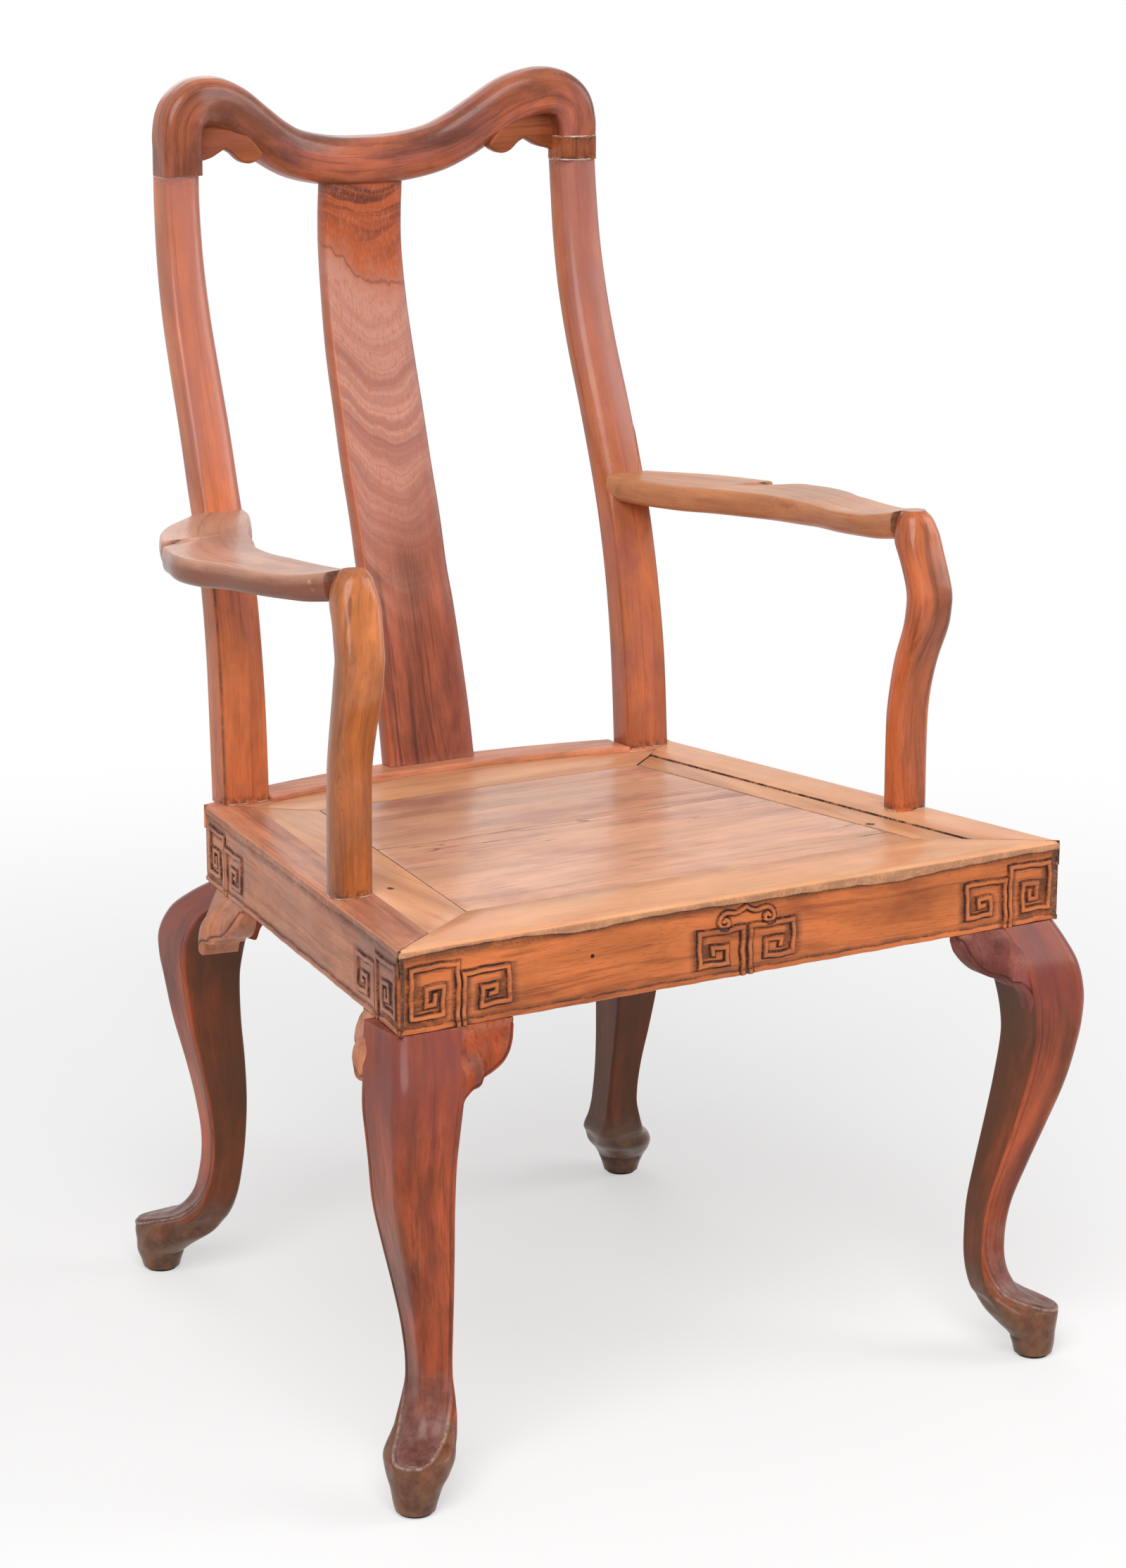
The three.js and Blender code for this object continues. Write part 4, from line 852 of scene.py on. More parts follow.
@shader_group(
    "Rubbed gloss", {"Place": "Vector", "Roughness": 0.4, "Dull": 0.0}, {"Roughness": "Float"}
)
def rubbed_gloss(bench, entry, leave):
    """Hand-rubbed polish: its roughness drifts over the wood, and wax makes it duller."""
    smears = bench.noise(entry["Place"], (9.0, 9.0, 9.0), 3.0, 0.6)
    rough = bench.plus(entry["Roughness"], bench.spread(smears, 0.3, 0.7, -0.08, 0.1))
    rough = bench.plus(rough, bench.times(entry["Dull"], 0.25), clamp=True)
    bench.feed(leave["Roughness"], rough)


# Each wood's share of an effect, where its own entry gives no other
PLAIN_LOOK = {
    "streaks": 0.45,
    "bloom_amount": 0.35,
    "wave": 0.012,
    "fine": 0.3,
    "cracks": 0.0,
    "width": 1.0,
    "cloudy": 0.2,
    "rub_amount": 0.12,
    "roughness": 0.4,
    "coat": 0.1,
    "bump": 0.0002,
    "glue": (),
    "spots": (),
    "under": 0.0,
    "trodden": False,
    "purpled": False,
    "figured": False,
}
GRAIN_LOOK = ("streaks", "bloom_amount", "wave", "fine", "cracks", "width", "cloudy")


def timber(name, light, body, dark, bloom, seed=0.0, **finish):
    """A polished hardwood with its own four colours, its own part of the grain and its own wear, and, where
    asked, painted shade and a painted sheen.
    """
    look = {**PLAIN_LOOK, **finish}
    material, bench = new_material(name)
    place = bench.node("ShaderNodeTexCoord").outputs["Object"]
    lie = bench.attribute("grain", "Vector")
    moved = bench.vector("ADD", lie, (seed * 1.7, seed * 0.63, seed * 0.29))
    grain = {key.capitalize(): look[key] for key in GRAIN_LOOK}
    wood = bench.group(timber_grain, Grain=moved, Light=light, Body=body, Dark=dark, Bloom=bloom, **grain)
    colour = wood["Colour"]
    if look["figured"]:
        colour = bench.group(
            crotch_figure, Grain=lie, Plain=colour, Pale=tint(200, 142, 122), Band=tint(142, 84, 76),
            Cap=tint(184, 90, 48), Ink=tint(98, 40, 26),
        )["Colour"]
    polish = bench.group(
        old_polish, Colour=colour, Place=place, Hollow=bench.attribute("hollow"),
        Edge=bench.attribute("edge"), Ink=bench.attribute("stain_and_shade"), Rub_amount=look["rub_amount"],
        Rubbed=tint(222, 178, 150),
    )
    colour = polish["Colour"]
    for joint in look["glue"]:
        colour = bench.group(glue_line, Colour=colour, Place=place, Height=joint * MM)["Colour"]
    for (x, y, z, size), mark in look["spots"]:
        centre = Vector((x, y + PLAN_SHIFT, z)) * MM
        marked = bench.group(
            small_mark, Colour=colour, Place=place, Centre=centre, Size=size * MM, Mark=mark
        )
        colour = marked["Colour"]
    # Painted shade on an arm's lower sides.
    if look["under"]:
        shaded = bench.group(shaded_underside, Colour=colour, Place=place, Grain=lie, Amount=look["under"])
        colour = shaded["Colour"]
    # Wear on a leg, and painted shade on its inner faces.
    if look["trodden"]:
        colour = bench.group(
            trodden_leg, Colour=colour, Place=place, Grain=moved, Inner_face=bench.attribute("inside"),
            Hollow=bench.attribute("dish"), Rim=bench.attribute("rim"),
        )["Colour"]
    gloss = bench.group(rubbed_gloss, Place=place, Roughness=look["roughness"], Dull=polish["Dull"])
    rough = gloss["Roughness"]
    # Purple bloom and a painted sheen on a post's front faces, where the polish is also glossier.
    if look["purpled"]:
        bloom_and_sheen = bench.group(post_bloom_and_sheen, Colour=colour, Place=place, Grain=moved, Lie=lie)
        colour = bloom_and_sheen["Colour"]
        rough = bench.less(rough, bench.times(bloom_and_sheen["Amount"], 0.08))
    bump = bench.node("ShaderNodeBump", Strength=0.6, Distance=look["bump"], Height=wood["Height"])
    shader = bench.node(
        "ShaderNodeBsdfPrincipled", Base_Color=colour, Roughness=rough, Normal=bump.outputs["Normal"],
        Coat_Weight=look["coat"], Coat_Roughness=0.2, Specular_IOR_Level=0.15,
    )
    bench.node("ShaderNodeOutputMaterial", Surface=shader.outputs["BSDF"])
    return material


def felt(name):
    """Matted black felt, greyed where it rubs."""
    material, bench = new_material(name)
    place = bench.node("ShaderNodeTexCoord").outputs["Object"]
    tufts = bench.noise(place, (900.0, 900.0, 900.0), 3.0, 0.7)
    clumps = bench.noise(place, (120.0, 120.0, 120.0), 3.0, 0.6)
    colour = bench.mix(bench.spread(clumps, 0.4, 0.7), tint(30, 28, 28), tint(74, 66, 62))
    bump = bench.node("ShaderNodeBump", Strength=0.8, Distance=0.0006, Height=tufts)
    shader = bench.node(
        "ShaderNodeBsdfPrincipled", Base_Color=colour, Roughness=0.95, Normal=bump.outputs["Normal"]
    )
    bench.node("ShaderNodeOutputMaterial", Surface=shader.outputs["BSDF"])
    return material


# Plan of the seat


def half_width(y):
    share = (y - SEAT_FRONT) / SEAT_DEPTH
    return (SEAT_FRONT_WIDTH * (1 - share) + SEAT_BACK_WIDTH * share) / 2


def back_edge(x):
    return SEAT_BACK + BACK_BOW * (1 - (x / (SEAT_BACK_WIDTH / 2)) ** 2)


FRONT_MITRE = (half_width(PANEL_FRONT) - BORDER, PANEL_FRONT)
BACK_MITRE = (half_width(STRIP_FRONT) - BORDER, STRIP_FRONT)
SIDE_RUN = (SEAT_BACK_WIDTH - SEAT_FRONT_WIDTH) / 2
SIDE_LENGTH = math.hypot(SIDE_RUN, SEAT_DEPTH)
SIDE_WAY = np.array([SIDE_RUN, SEAT_DEPTH, 0.0]) / SIDE_LENGTH
SIDE_OUT = np.array([SIDE_WAY[1], -SIDE_WAY[0], 0.0])


def mitre_point(corner_y, inner, inset):
    """Where the mitre from an outer corner crosses a line set in from the side by a width."""
    outer = half_width(corner_y)
    run, rise = inner[0] - outer, inner[1] - corner_y
    t = inset / (rise * SIDE_RUN / SEAT_DEPTH - run)
    return outer + run * t, corner_y + rise * t


def inner_back(x):
    return back_edge(x) - BACK_RAIL_WIDTH


def back_crossing():
    """Where the back mitre meets the back rail's inner edge."""
    outer = half_width(SEAT_BACK)
    low, high = 0.0, 1.0
    while high - low > 1e-9:
        t = (low + high) / 2
        x, y = outer + (BACK_MITRE[0] - outer) * t, SEAT_BACK + (BACK_MITRE[1] - SEAT_BACK) * t
        low, high = (t, high) if y > inner_back(x) else (low, t)
    return outer + (BACK_MITRE[0] - outer) * low


def bow_line(edge, start, end, steps=40):
    return [(x, edge(x)) for x in np.linspace(start, end, steps + 1)]


def drawn_in(outline, amount):
    """An outline drawn in by a little where it meets its neighbours."""
    points = np.array(outline, float)
    following = np.roll(points, -1, 0)
    after = following - points
    after /= np.linalg.norm(after, axis=1)[:, None]
    turn = np.sign(np.sum(points[:, 0] * following[:, 1] - following[:, 0] * points[:, 1]))
    out = np.stack([-after[:, 1], after[:, 0]], 1) * turn
    before = np.roll(out, 1, 0)
    share = 1 + np.sum(out * before, 1)
    return points + amount * (out + before) / share[:, None]


# The run of a rail: its outer corner, the way it goes and its length


def rail_run(which):
    if which == "front":
        return np.array([-half_width(SEAT_FRONT), SEAT_FRONT, 0.0]), np.array([1.0, 0, 0]), SEAT_FRONT_WIDTH
    return np.array([half_width(SEAT_FRONT), SEAT_FRONT, 0.0]), SIDE_WAY, SIDE_LENGTH


def lip_stain_and_shadow(v, z, low, deep):
    """How dark a frame board is: along its joints, on its front, and with a painted shadow along the lip's
    lower line.
    """
    if v < 0.4 - deep:
        return 0.8 if z < SEAT_HEIGHT - 0.2 else 0.0
    # Painted shadow along the underside of the overhanging lip.
    if z < low + 0.6:
        return 0.9
    return 0.36 if v > -0.8 and z < SEAT_HEIGHT - 2.5 else 0.0


def frame_board(which, lip, depth_at, projection):
    """A rail's board, drawn along its run, with a worn wavy lip standing over the apron."""
    start, way, length = rail_run(which)
    out = np.array([0.0, -1.0, 0.0]) if which == "front" else SIDE_OUT
    line = smooth_table(lip)
    rings, lies, stain_and_shade_rows = [], [], []
    near = np.array([0.6, 1.5, 3.0])
    for u in np.concatenate([near, np.linspace(6, length - 6, 96), length - near[::-1]]):
        deep = depth_at(u)
        low = line(u)[0] - 0.35 * math.sin(u * 0.21) - 0.25 * math.sin(u * 0.077 + 1)
        stand = projection + 0.25 * math.sin(u * 0.05) + 0.15 * math.sin(u * 0.31)
        front = min(stand, LIP)
        sunk = LIP + 1.2
        profile = [
            (-deep, FRAME_UNDERSIDE),
            (-deep, SEAT_HEIGHT - 0.9),
            (-deep + 0.3, SEAT_HEIGHT - 0.25),
            (-deep + 0.9, SEAT_HEIGHT),
            (-deep * 0.66 - 1, SEAT_HEIGHT),
            (-deep * 0.33 - 2, SEAT_HEIGHT),
            (-4.6, SEAT_HEIGHT - 0.1),
            (-3.0, SEAT_HEIGHT - 0.45),
            (-1.6, SEAT_HEIGHT - 1.1),
            (-0.7, SEAT_HEIGHT - 2.0),
            (-0.15, SEAT_HEIGHT - 3.2),
            (0.0, SEAT_HEIGHT - 4.6),
            (0.0, low + 2.0),
            (-0.15, low + 1.0),
            (-0.7, low + 0.3),
            (-1.6, low),
            (-sunk, low),
            (-sunk, FRAME_UNDERSIDE),
        ]
        ring, lie = [], []
        stain_and_shade_rows.append([lip_stain_and_shadow(v, z, low, deep) for v, z in profile])
        for v, z in profile:
            v = min(v, -0.05) - (LIP - front) * (1 if v > -1.7 and z < SEAT_HEIGHT - 0.5 else 0)
            v = max(v, -max(deep, 0.6)) if z >= SEAT_HEIGHT - 1 else v
            point = start + way * u + out * v
            ring.append((point[0], point[1], z))
            lie.append((u, v, z))
        rings.append(ring)
        lies.append(lie)
    bm = bmesh.new()
    loft(bm, rings, lies, stain_and_shade_rows)
    return bm


def lines_across(places, width, low, high, step):
    """Grid lines set at each bar's two edges and crown, with plain steps between the bars."""
    offsets = np.array([-1.45, -1.0, -0.82, -0.45, 0.0, 0.45, 0.82, 1.0, 1.45]) * width / 2
    marks = sorted({round(p + o, 3) for p in places for o in offsets if low < p + o < high} | {low, high})
    lines = [marks[0]]
    for mark in marks[1:]:
        if mark - lines[-1] < 0.22:
            continue
        count = max(1, int(math.ceil((mark - lines[-1]) / step)))
        lines.extend(np.linspace(lines[-1], mark, count + 1)[1:])
    return np.array(lines)


def bar_distance(u, z, bars):
    """Distance from each grid point to the nearest line of a set of bars."""
    nearest = np.full(u.shape, 1e9)
    for bar in bars:
        for (ua, za), (ub, zb) in zip(bar, bar[1:]):
            du, dz = ub - ua, zb - za
            t = np.clip(((u - ua) * du + (z - za) * dz) / (du * du + dz * dz), 0, 1)
            box = np.maximum(np.abs(u - ua - t * du), np.abs(z - za - t * dz))
            straight = du == 0 or dz == 0
            gap = box if straight else np.hypot(u - ua - t * du, z - za - t * dz)
            nearest = np.minimum(nearest, gap)
    return nearest


def wander(u, z, seed):
    """The small wandering of a hand-cut line, in millimetres."""
    across = 0.45 * np.sin(z * 0.16 + u * 0.041 + seed) + 0.3 * np.sin(z * 0.37 - u * 0.11 + seed * 2.3)
    up = 0.45 * np.sin(u * 0.13 + z * 0.05 + seed * 1.7) + 0.3 * np.sin(u * 0.31 - z * 0.09 + seed * 0.9)
    return across, up


def carved_apron(which, frets, scroll, relief, bar_width, seed):
    """An apron's face as one carved sheet: fret bars, scroll and lower bead stand up from its ground."""
    start, way, length = rail_run(which)
    out = np.array([0.0, -1.0, 0.0]) if which == "front" else SIDE_OUT
    start = start - out * LIP
    height = 64.5
    columns = lines_across([p[0] for bar in frets for p in bar], bar_width, 0.2, length - 0.2, 7.0)
    ends = np.array([1.2, 2.6])
    columns = np.unique(np.concatenate([columns, ends, length - ends]))
    rows = lines_across([p[1] for bar in frets for p in bar] + [1.9], bar_width, 0.0, height, 4.0)
    if scroll:
        left, right = min(p[0] for p in scroll) - 4, max(p[0] for p in scroll) + 4
        fine = np.arange(left, right, 0.7)
        columns = np.array(sorted(set(np.round(np.concatenate([columns, fine]), 2))))
        columns = columns[np.concatenate([[True], np.diff(columns) > 0.3])]
        rows = np.array(sorted(set(np.round(np.concatenate([rows, np.arange(42.0, 62.0, 0.7)]), 2))))
        rows = rows[np.concatenate([[True], np.diff(rows) > 0.3])]
    bm = bmesh.new()
    grain = bm.verts.layers.float_vector.new("grain")
    stain = bm.verts.layers.float.new("stain_and_shade")
    made = bmesh.ops.create_grid(bm, x_segments=len(columns) - 1, y_segments=len(rows) - 1, size=1)
    u, z = np.meshgrid(columns, rows)
    gap = bar_distance(u, z, frets) / (bar_width / 2)
    rise = relief * np.clip(1 - gap**4, 0, 1) ** 0.6
    crease = 0.55 * hump(gap, 1.28, 0.3)
    # Painted shade, with dark wax, in the recesses beside the fret bars and the scroll.
    stain_and_shade = np.clip(hump(gap, 1.15, 0.42), 0, 1)
    if scroll:
        band = bar_distance(u, z, [scroll]) / 1.9
        rise = np.maximum(rise, relief * 0.95 * np.clip(1 - band**4, 0, 1) ** 0.6)
        crease = np.maximum(crease, 0.5 * hump(band, 1.35, 0.35) * (gap > 1.2))
        stain_and_shade = np.maximum(stain_and_shade, hump(band, 1.25, 0.5))
    bead = 0.9 * np.clip(1 - ((z - 1.9) / 1.9) ** 4, 0, 1) ** 0.5
    bead_crease = 0.5 * hump(z, 4.6, 0.7) * (gap > 1.1)
    lift = np.maximum(rise, bead) - crease - bead_crease
    lift += 0.22 * np.sin(u * 0.045 + seed) * np.sin(z * 0.08 + 1) - 0.15
    # Painted shade, with dark wax, in the crease above the lower bead; a painted shadow along the top,
    # under the board's lip; dark joints at both ends.
    stain_and_shade = np.maximum(stain_and_shade, 0.75 * hump(z, 4.7, 0.9))
    stain_and_shade = np.maximum(stain_and_shade, 0.5 * smooth_step(54, 62, z))
    stain_and_shade = np.maximum(stain_and_shade, 0.75 * hump(np.minimum(u, length - u), 0, 1.2))
    across, up = wander(u, z, seed)
    fade = smooth_step(0, 6, u) * smooth_step(0, 6, length - u)
    u = u + across * fade
    z = z + up * smooth_step(0, 3, height - z) * (0.4 + 0.6 * smooth_step(0, 6, z))
    for vert, a, b, c, dark in zip(made["verts"], u.ravel(), z.ravel(), lift.ravel(), stain_and_shade.ravel()):
        point = start + way * a + out * c
        vert.co = (point[0], point[1], APRON_BOTTOM + b)
        vert[grain] = (a, c, b)
        vert[stain] = dark
    rim = [edge for edge in bm.edges if edge.is_boundary]
    drawn = bmesh.ops.extrude_edge_only(bm, edges=rim)["geom"]
    back = [item for item in drawn if isinstance(item, bmesh.types.BMVert)]
    for vert in back:
        a = vert[grain][0]
        mitre = APRON_THICKNESS * 0.9
        inward = (mitre - a) if a < mitre else min(0.0, length - mitre - a)
        point = Vector(start + way * (a + inward) - out * APRON_THICKNESS)
        vert.co = (point[0], point[1], min(max(vert.co.z, APRON_BOTTOM), APRON_BOTTOM + 48.0))
        vert[stain] = 0.0
    rim = [item for item in drawn if isinstance(item, bmesh.types.BMEdge) and item.is_boundary]
    bmesh.ops.holes_fill(bm, edges=rim, sides=0)
    return bm


# Legs


class LegPlace:
    """Where a right-hand leg stands, and which way its outer corner points."""

    def __init__(self, rows, y, across, along, back):
        self.table = smooth_table(rows)
        self.x = half_width(SEAT_BACK if back > 0 else SEAT_FRONT) - LEG_INSET - LEG_TOP / 2
        self.y = y
        self.across, self.along = across, along
        self.side = np.array([1.0, 0.0])
        self.fore = np.array([0.0, float(back)])
        self.diagonal = (self.side + self.fore) / math.sqrt(2)
        self.height = APRON_BOTTOM - FIT - PAD


FRONT_PLACE = LegPlace(FRONT_LEG, SEAT_FRONT + LEG_INSET + LEG_TOP / 2, 16.0, 25.0, -1)
REAR_PLACE = LegPlace(REAR_LEG, SEAT_BACK - LEG_INSET - LEG_TOP / 2, 8.0, 77.0, 1)
HALF_SIDES = 20
# How far round from the outer corner the raised lines run: 1 is a side corner
RIM_TURN = 0.955


def leg_turns():
    """Places round a leg: 0 at its outer corner, 1 and -1 at its two side corners, 2 at the inner one."""
    even = np.linspace(0, 1, HALF_SIDES, endpoint=False)
    near = 1 - (1 - even) ** 1.7
    quarter = np.concatenate([even * 0.5, 0.5 + near * 0.5, 1.5 - near[::-1] * 0.5, 1.5 + even * 0.5])
    quarter = np.unique(np.round(quarter, 5))
    return np.concatenate([quarter, -quarter[1:-1][::-1] if quarter[-1] >= 2 else -quarter[1:][::-1]])


def leg_point(place, turn, z):
    """A point on a leg's skin at a turn round it and a height."""
    turn, z = np.broadcast_arrays(np.asarray(turn, float), np.asarray(z, float))
    across, along, width, roundness, stretch = np.moveaxis(place.table((z - PAD) / place.height), -1, 0)
    half = width * LEG_TOP / 2
    folded = np.abs(turn)
    soft = half * roundness
    outer = np.maximum(soft, np.minimum(half * 0.55, 12.0))
    side = 1.6 + (soft - 1.6) * np.clip((roundness - 0.2) / 0.4, 0, 1)
    corner = np.clip(np.round(folded), 0, 2)
    radius = np.where(corner == 0, outer, np.where(corner == 1, side, np.maximum(soft, 3.0)))
    radius = np.minimum(radius, half)
    off = folded - corner
    run = half - radius
    arc = radius * math.pi / 4
    length = (1 - 2 * np.abs(off)) * (run + arc)
    flat = np.minimum(length, run)
    angle = np.maximum(length - run, 0) / np.maximum(radius, 1e-6)
    far = flat + radius * np.sin(angle)
    out = run + radius * np.cos(angle)
    first = np.where(off >= 0, far, out)
    second = np.where(off >= 0, out, far)
    a = np.choose(corner.astype(int), (first, -second, -first))
    b = np.choose(corner.astype(int), (second, first, -second))
    swap = turn < 0
    a, b = np.where(swap, b, a), np.where(swap, a, b)
    local = a[..., None] * place.side + b[..., None] * place.fore
    pull = (local @ place.diagonal) * (stretch - 1)
    local = local + pull[..., None] * place.diagonal
    centre = np.stack([place.x + across * place.across, place.y + along * place.along], -1)
    return np.concatenate([centre + local, z[..., None]], -1), np.concatenate([local, z[..., None]], -1)


def rim_line(place, rim, ankle):
    """The raised line up both sides of a leg and round its toe, as close points with their turns."""
    share = np.linspace(-1, 1, 900)
    toe = rim + (ankle - rim) * np.abs(share) ** 3.6
    heights = np.linspace(ankle, place.height + PAD - 1, 900)
    turns = np.concatenate([np.full(900, -RIM_TURN), share * RIM_TURN, np.full(900, RIM_TURN)])
    return leg_point(place, turns, np.concatenate([heights, toe, heights]))[0]


def carved_leg(place, sizes):
    """A cabriole leg whose outer faces run down into a hollow, rimmed spoon foot."""
    turns = leg_turns()
    top = place.height + PAD
    heights = np.concatenate(
        [
            np.linspace(PAD, 26, 16, endpoint=False),
            np.linspace(26, 58, 44, endpoint=False),
            np.linspace(58, 116, 48, endpoint=False),
            np.linspace(116, top, 60),
        ]
    )
    grids = [leg_point(place, turns, z) for z in heights]
    bm = bmesh.new()
    stain = bm.verts.layers.float.new("stain_and_shade")
    rim_mark = bm.verts.layers.float.new("rim")
    inner_shade_mark = bm.verts.layers.float.new("inside")
    dish_mark = bm.verts.layers.float.new("dish")
    lies = [np.stack([local[:, 2], local[:, 0], local[:, 1]], 1) for _, local in grids]
    rows = loft(bm, [skin for skin, _ in grids], lies)
    bmesh.ops.recalc_face_normals(bm, faces=bm.faces)
    bm.normal_update()
    line = rim_line(place, sizes.rim_height, sizes.ankle_height)
    tree = KDTree(len(line))
    for index, point in enumerate(line):
        tree.insert(point, index)
    tree.balance()
    moves = []
    for row, z in zip(rows, heights):
        for vert, turn in zip(row, turns):
            gap = tree.find(vert.co)[2]
            share = min(abs(turn) / RIM_TURN, 1.0)
            edge = sizes.rim_height + (sizes.ankle_height - sizes.rim_height) * share**3.6
            inside = abs(turn) < RIM_TURN and z > edge
            foot = 1 - smooth_step(62, 104, z)
            # The darks are painted shade, with dark wax, in the grooves beside the rim bead and round the
            # back corners.
            if inside:
                dish = sizes.dish_depth * smooth_step(1.2, 13, gap) * foot
                groove = sizes.groove_depth * (0.55 + 0.45 * foot)
                move = 0.4 * hump(gap, 0, 1.2) - groove * hump(gap, 2.1, 0.85) - dish
                dark = hump(gap, 2.2, 1.0) * (0.4 + 0.5 * foot)
            else:
                move = 0.4 * hump(gap, 0, 1.2) - 0.6 * hump(gap, 2.5, 1.0) * foot
                dark = 0.5 * hump(gap, 2.6, 1.1) * foot
            if abs(turn) > 1.25:
                move -= 1.3 * hump(z, 18.5, 1.5)
                dark = max(dark, 0.7 * hump(z, 18.2, 1.6))
            fade = smooth_step(34, 62, top - z)
            moves.append((vert, vert.normal.copy(), float(move * fade)))
            vert[stain] = float(dark * fade)
            # Marks the inner faces, which the leg's wood gives painted shade.
            vert[inner_shade_mark] = float(smooth_step(1.0, 1.05, abs(turn)))
            vert[dish_mark] = float(inside)
            vert[rim_mark] = float(hump(gap, 0, 1.3) * (0.35 + 0.65 * foot))
    for vert, normal, move in moves:
        vert.co += normal * move
    return bm


def knee_ear(start, way, out, reach, fall, merged, bead):
    """A lobed ear beside a knee, with a bead along its scalloped edge, run into the leg if merged."""
    table = smooth_table(EAR if merged else LOBED_EAR)
    shares = np.concatenate([np.linspace(0.0, 0.9, 64), np.linspace(0.912, 1.0, 14)])
    rows = table(shares)
    top = APRON_BOTTOM - FIT
    line = np.stack([shares * reach, rows[:, 0] * fall], 1)
    face = np.array(EAR_FACE)
    swell = smooth_table(EAR_SWELL)(face)[:, 0]
    rings, lies, stain_and_shade_rows = [], [], []
    for share, (drop, bulge) in zip(shares, rows):
        drop, bulge = max(drop, 0.02) * fall, max(bulge, 0.0) * EAR_BULGE
        behind = max(-EAR_THICKNESS, bulge - 19.0) if merged else -EAR_THICKNESS
        ring, stain_and_shade = [], []
        for deep in (0.0, 0.35, 0.7, 0.96):
            ring.append((share * reach, behind * (1 - deep) + bulge * 0.8 * deep, drop))
            stain_and_shade.append(0.15)
        for part, swell_share in zip(face, swell):
            down = drop * (1 - part)
            gap = np.min(np.hypot(line[:, 0] - share * reach, line[:, 1] - down))
            lift = 0.45 * hump(gap, bead * 0.4, bead * 0.42) - 0.9 * hump(gap, bead * 1.15, bead * 0.27)
            lift = lift * smooth_step(0.0, 0.12, share + 0.05)
            ring.append((share * reach, bulge * swell_share + lift, down))
            # Painted shade, with dark wax, in the groove beside the bead.
            stain_and_shade.append(0.75 * hump(gap, bead * 1.15, bead * 0.33))
        ring.append((share * reach, -EAR_THICKNESS, 0.0))
        stain_and_shade.append(0.2)
        rings.append([start + way * u + out * v + np.array([0, 0, top - w]) for u, v, w in ring])
        lies.append([(w, u, v) for u, v, w in ring])
        stain_and_shade_rows.append(stain_and_shade)
    bm = bmesh.new()
    loft(bm, rings, lies, stain_and_shade_rows)
    return bm


# Posts, splat, arms, supports and crest

POST_BASE_Y = back_edge(POST_X) - POST_THICKNESS / 2 - 1.0
POST_TABLE = smooth_table(POST)


def post_at(height):
    """A right-hand post's middle and width at a height."""
    draw, rake, width = POST_TABLE((height - SEAT_HEIGHT) / (POST_JOINT - SEAT_HEIGHT))
    return POST_X - draw * POST_DRAW, POST_BASE_Y + rake * POST_RAKE, width * POST_WIDTH


def post_piece(bottom, top, steps, extra=0.0):
    """A length of a right-hand post: square below the arm, rounded in front above it."""
    rings, lies, stain_and_shade_rows = [], [], []
    for height in np.linspace(bottom, top, steps):
        x, y, width = post_at(height)
        above = smooth_step(ARM_HEIGHT - 26, ARM_HEIGHT - 2, height)
        radii = (3.5, 3.5, 3.5 + 10.0 * above, 3.0 + 2.5 * above)
        ring = section(width + 2 * extra, POST_THICKNESS + 2 * extra, radii, crown=0.5)
        rings.append([(x + a, y + b, height) for a, b in ring])
        lies.append([(height, a, b) for a, b in ring])
        corner = np.hypot(ring[:, 0] - (width / 2 - 1), ring[:, 1] + POST_THICKNESS / 2 - 1)
        stain_and_shade_rows.append(0.6 * hump(corner, 0, 1.6) * (1 - smooth_step(ARM_HEIGHT, ARM_HEIGHT + 60, height)))
    bm = bmesh.new()
    loft(bm, rings, lies, stain_and_shade_rows)
    return bm


ARM_TABLE = smooth_table(ARM)
ARM_REAR = post_at(ARM_HEIGHT)[1] - POST_THICKNESS / 2 + 3.0


def arm_at(share):
    wing, draw, rise, thickness = ARM_TABLE(share)
    outer = SUPPORT_X + ARM_WIDTH / 2 + wing * ARM_WING
    inner = SUPPORT_X - ARM_WIDTH / 2 + draw * ARM_DRAW
    y = ARM_REAR + (ARM_FRONT - ARM_REAR) * share
    return outer, inner, y, ARM_HEIGHT + rise * ARM_RISE, thickness * ARM_THICKNESS


def notch_at(rearward):
    """How far the beak's notch cuts in at a distance behind its throat."""
    if rearward >= 0:
        return max(0.0, NOTCH_DEPTH * (1 - rearward / 2.4)) + 1.6 * float(hump(rearward, 2.4, 2.2))
    ahead = -rearward / 20.0
    return NOTCH_DEPTH * max(0.0, 1 - ahead**0.52)


def arm_piece():
    """The right arm: a serpentine bar whose outer side swells into a beaked wing."""
    length = ARM_REAR - ARM_FRONT
    throat_y = ARM_REAR - length * NOTCH_PLACE
    near = NOTCH_PLACE + np.concatenate([np.linspace(-9, 0, 26), np.linspace(0.3, 22, 40)]) / length
    shares = np.unique(np.concatenate([np.linspace(0, 1, 84), near, [0.004, 0.996]]))
    rings, lies, stain_and_shade_rows = [], [], []
    for share in shares:
        outer, inner, y, top, thickness = arm_at(share)
        notch = notch_at(y - throat_y)
        width = outer - inner
        ring = section(width, thickness, (3.5, 3.5, 10.0, 10.0), turns=8, flats=9, crown=0.6)
        middle_x, middle_z = (outer + inner) / 2, top - thickness / 2
        points, darks = [], []
        for a, b in ring:
            # Dark joints at the arm's two ends, and a painted shadow in the beak's notch.
            ends = max(0.6 * float(hump(share, 1, 0.002)), 0.6 * float(hump(share, 0, 0.002)))
            darks.append(max(ends, 0.7 * float(hump(y - throat_y, 0.4, 1.0)) * float(a > width / 2 - 6)))
            outward = smooth_step(-width / 2, width / 2 - 2, a)
            fold = 2.4 * smooth_step(0.6, -0.8, y - throat_y) * smooth_step(-34, -2, y - throat_y)
            points.append((middle_x + a - notch * outward**3, y, middle_z + b - fold * outward**2))
        rings.append(points)
        stain_and_shade_rows.append(darks)
        lies.append([(-y, a, b) for a, b in ring])
    bm = bmesh.new()
    loft(bm, rings, lies, stain_and_shade_rows)
    return bm


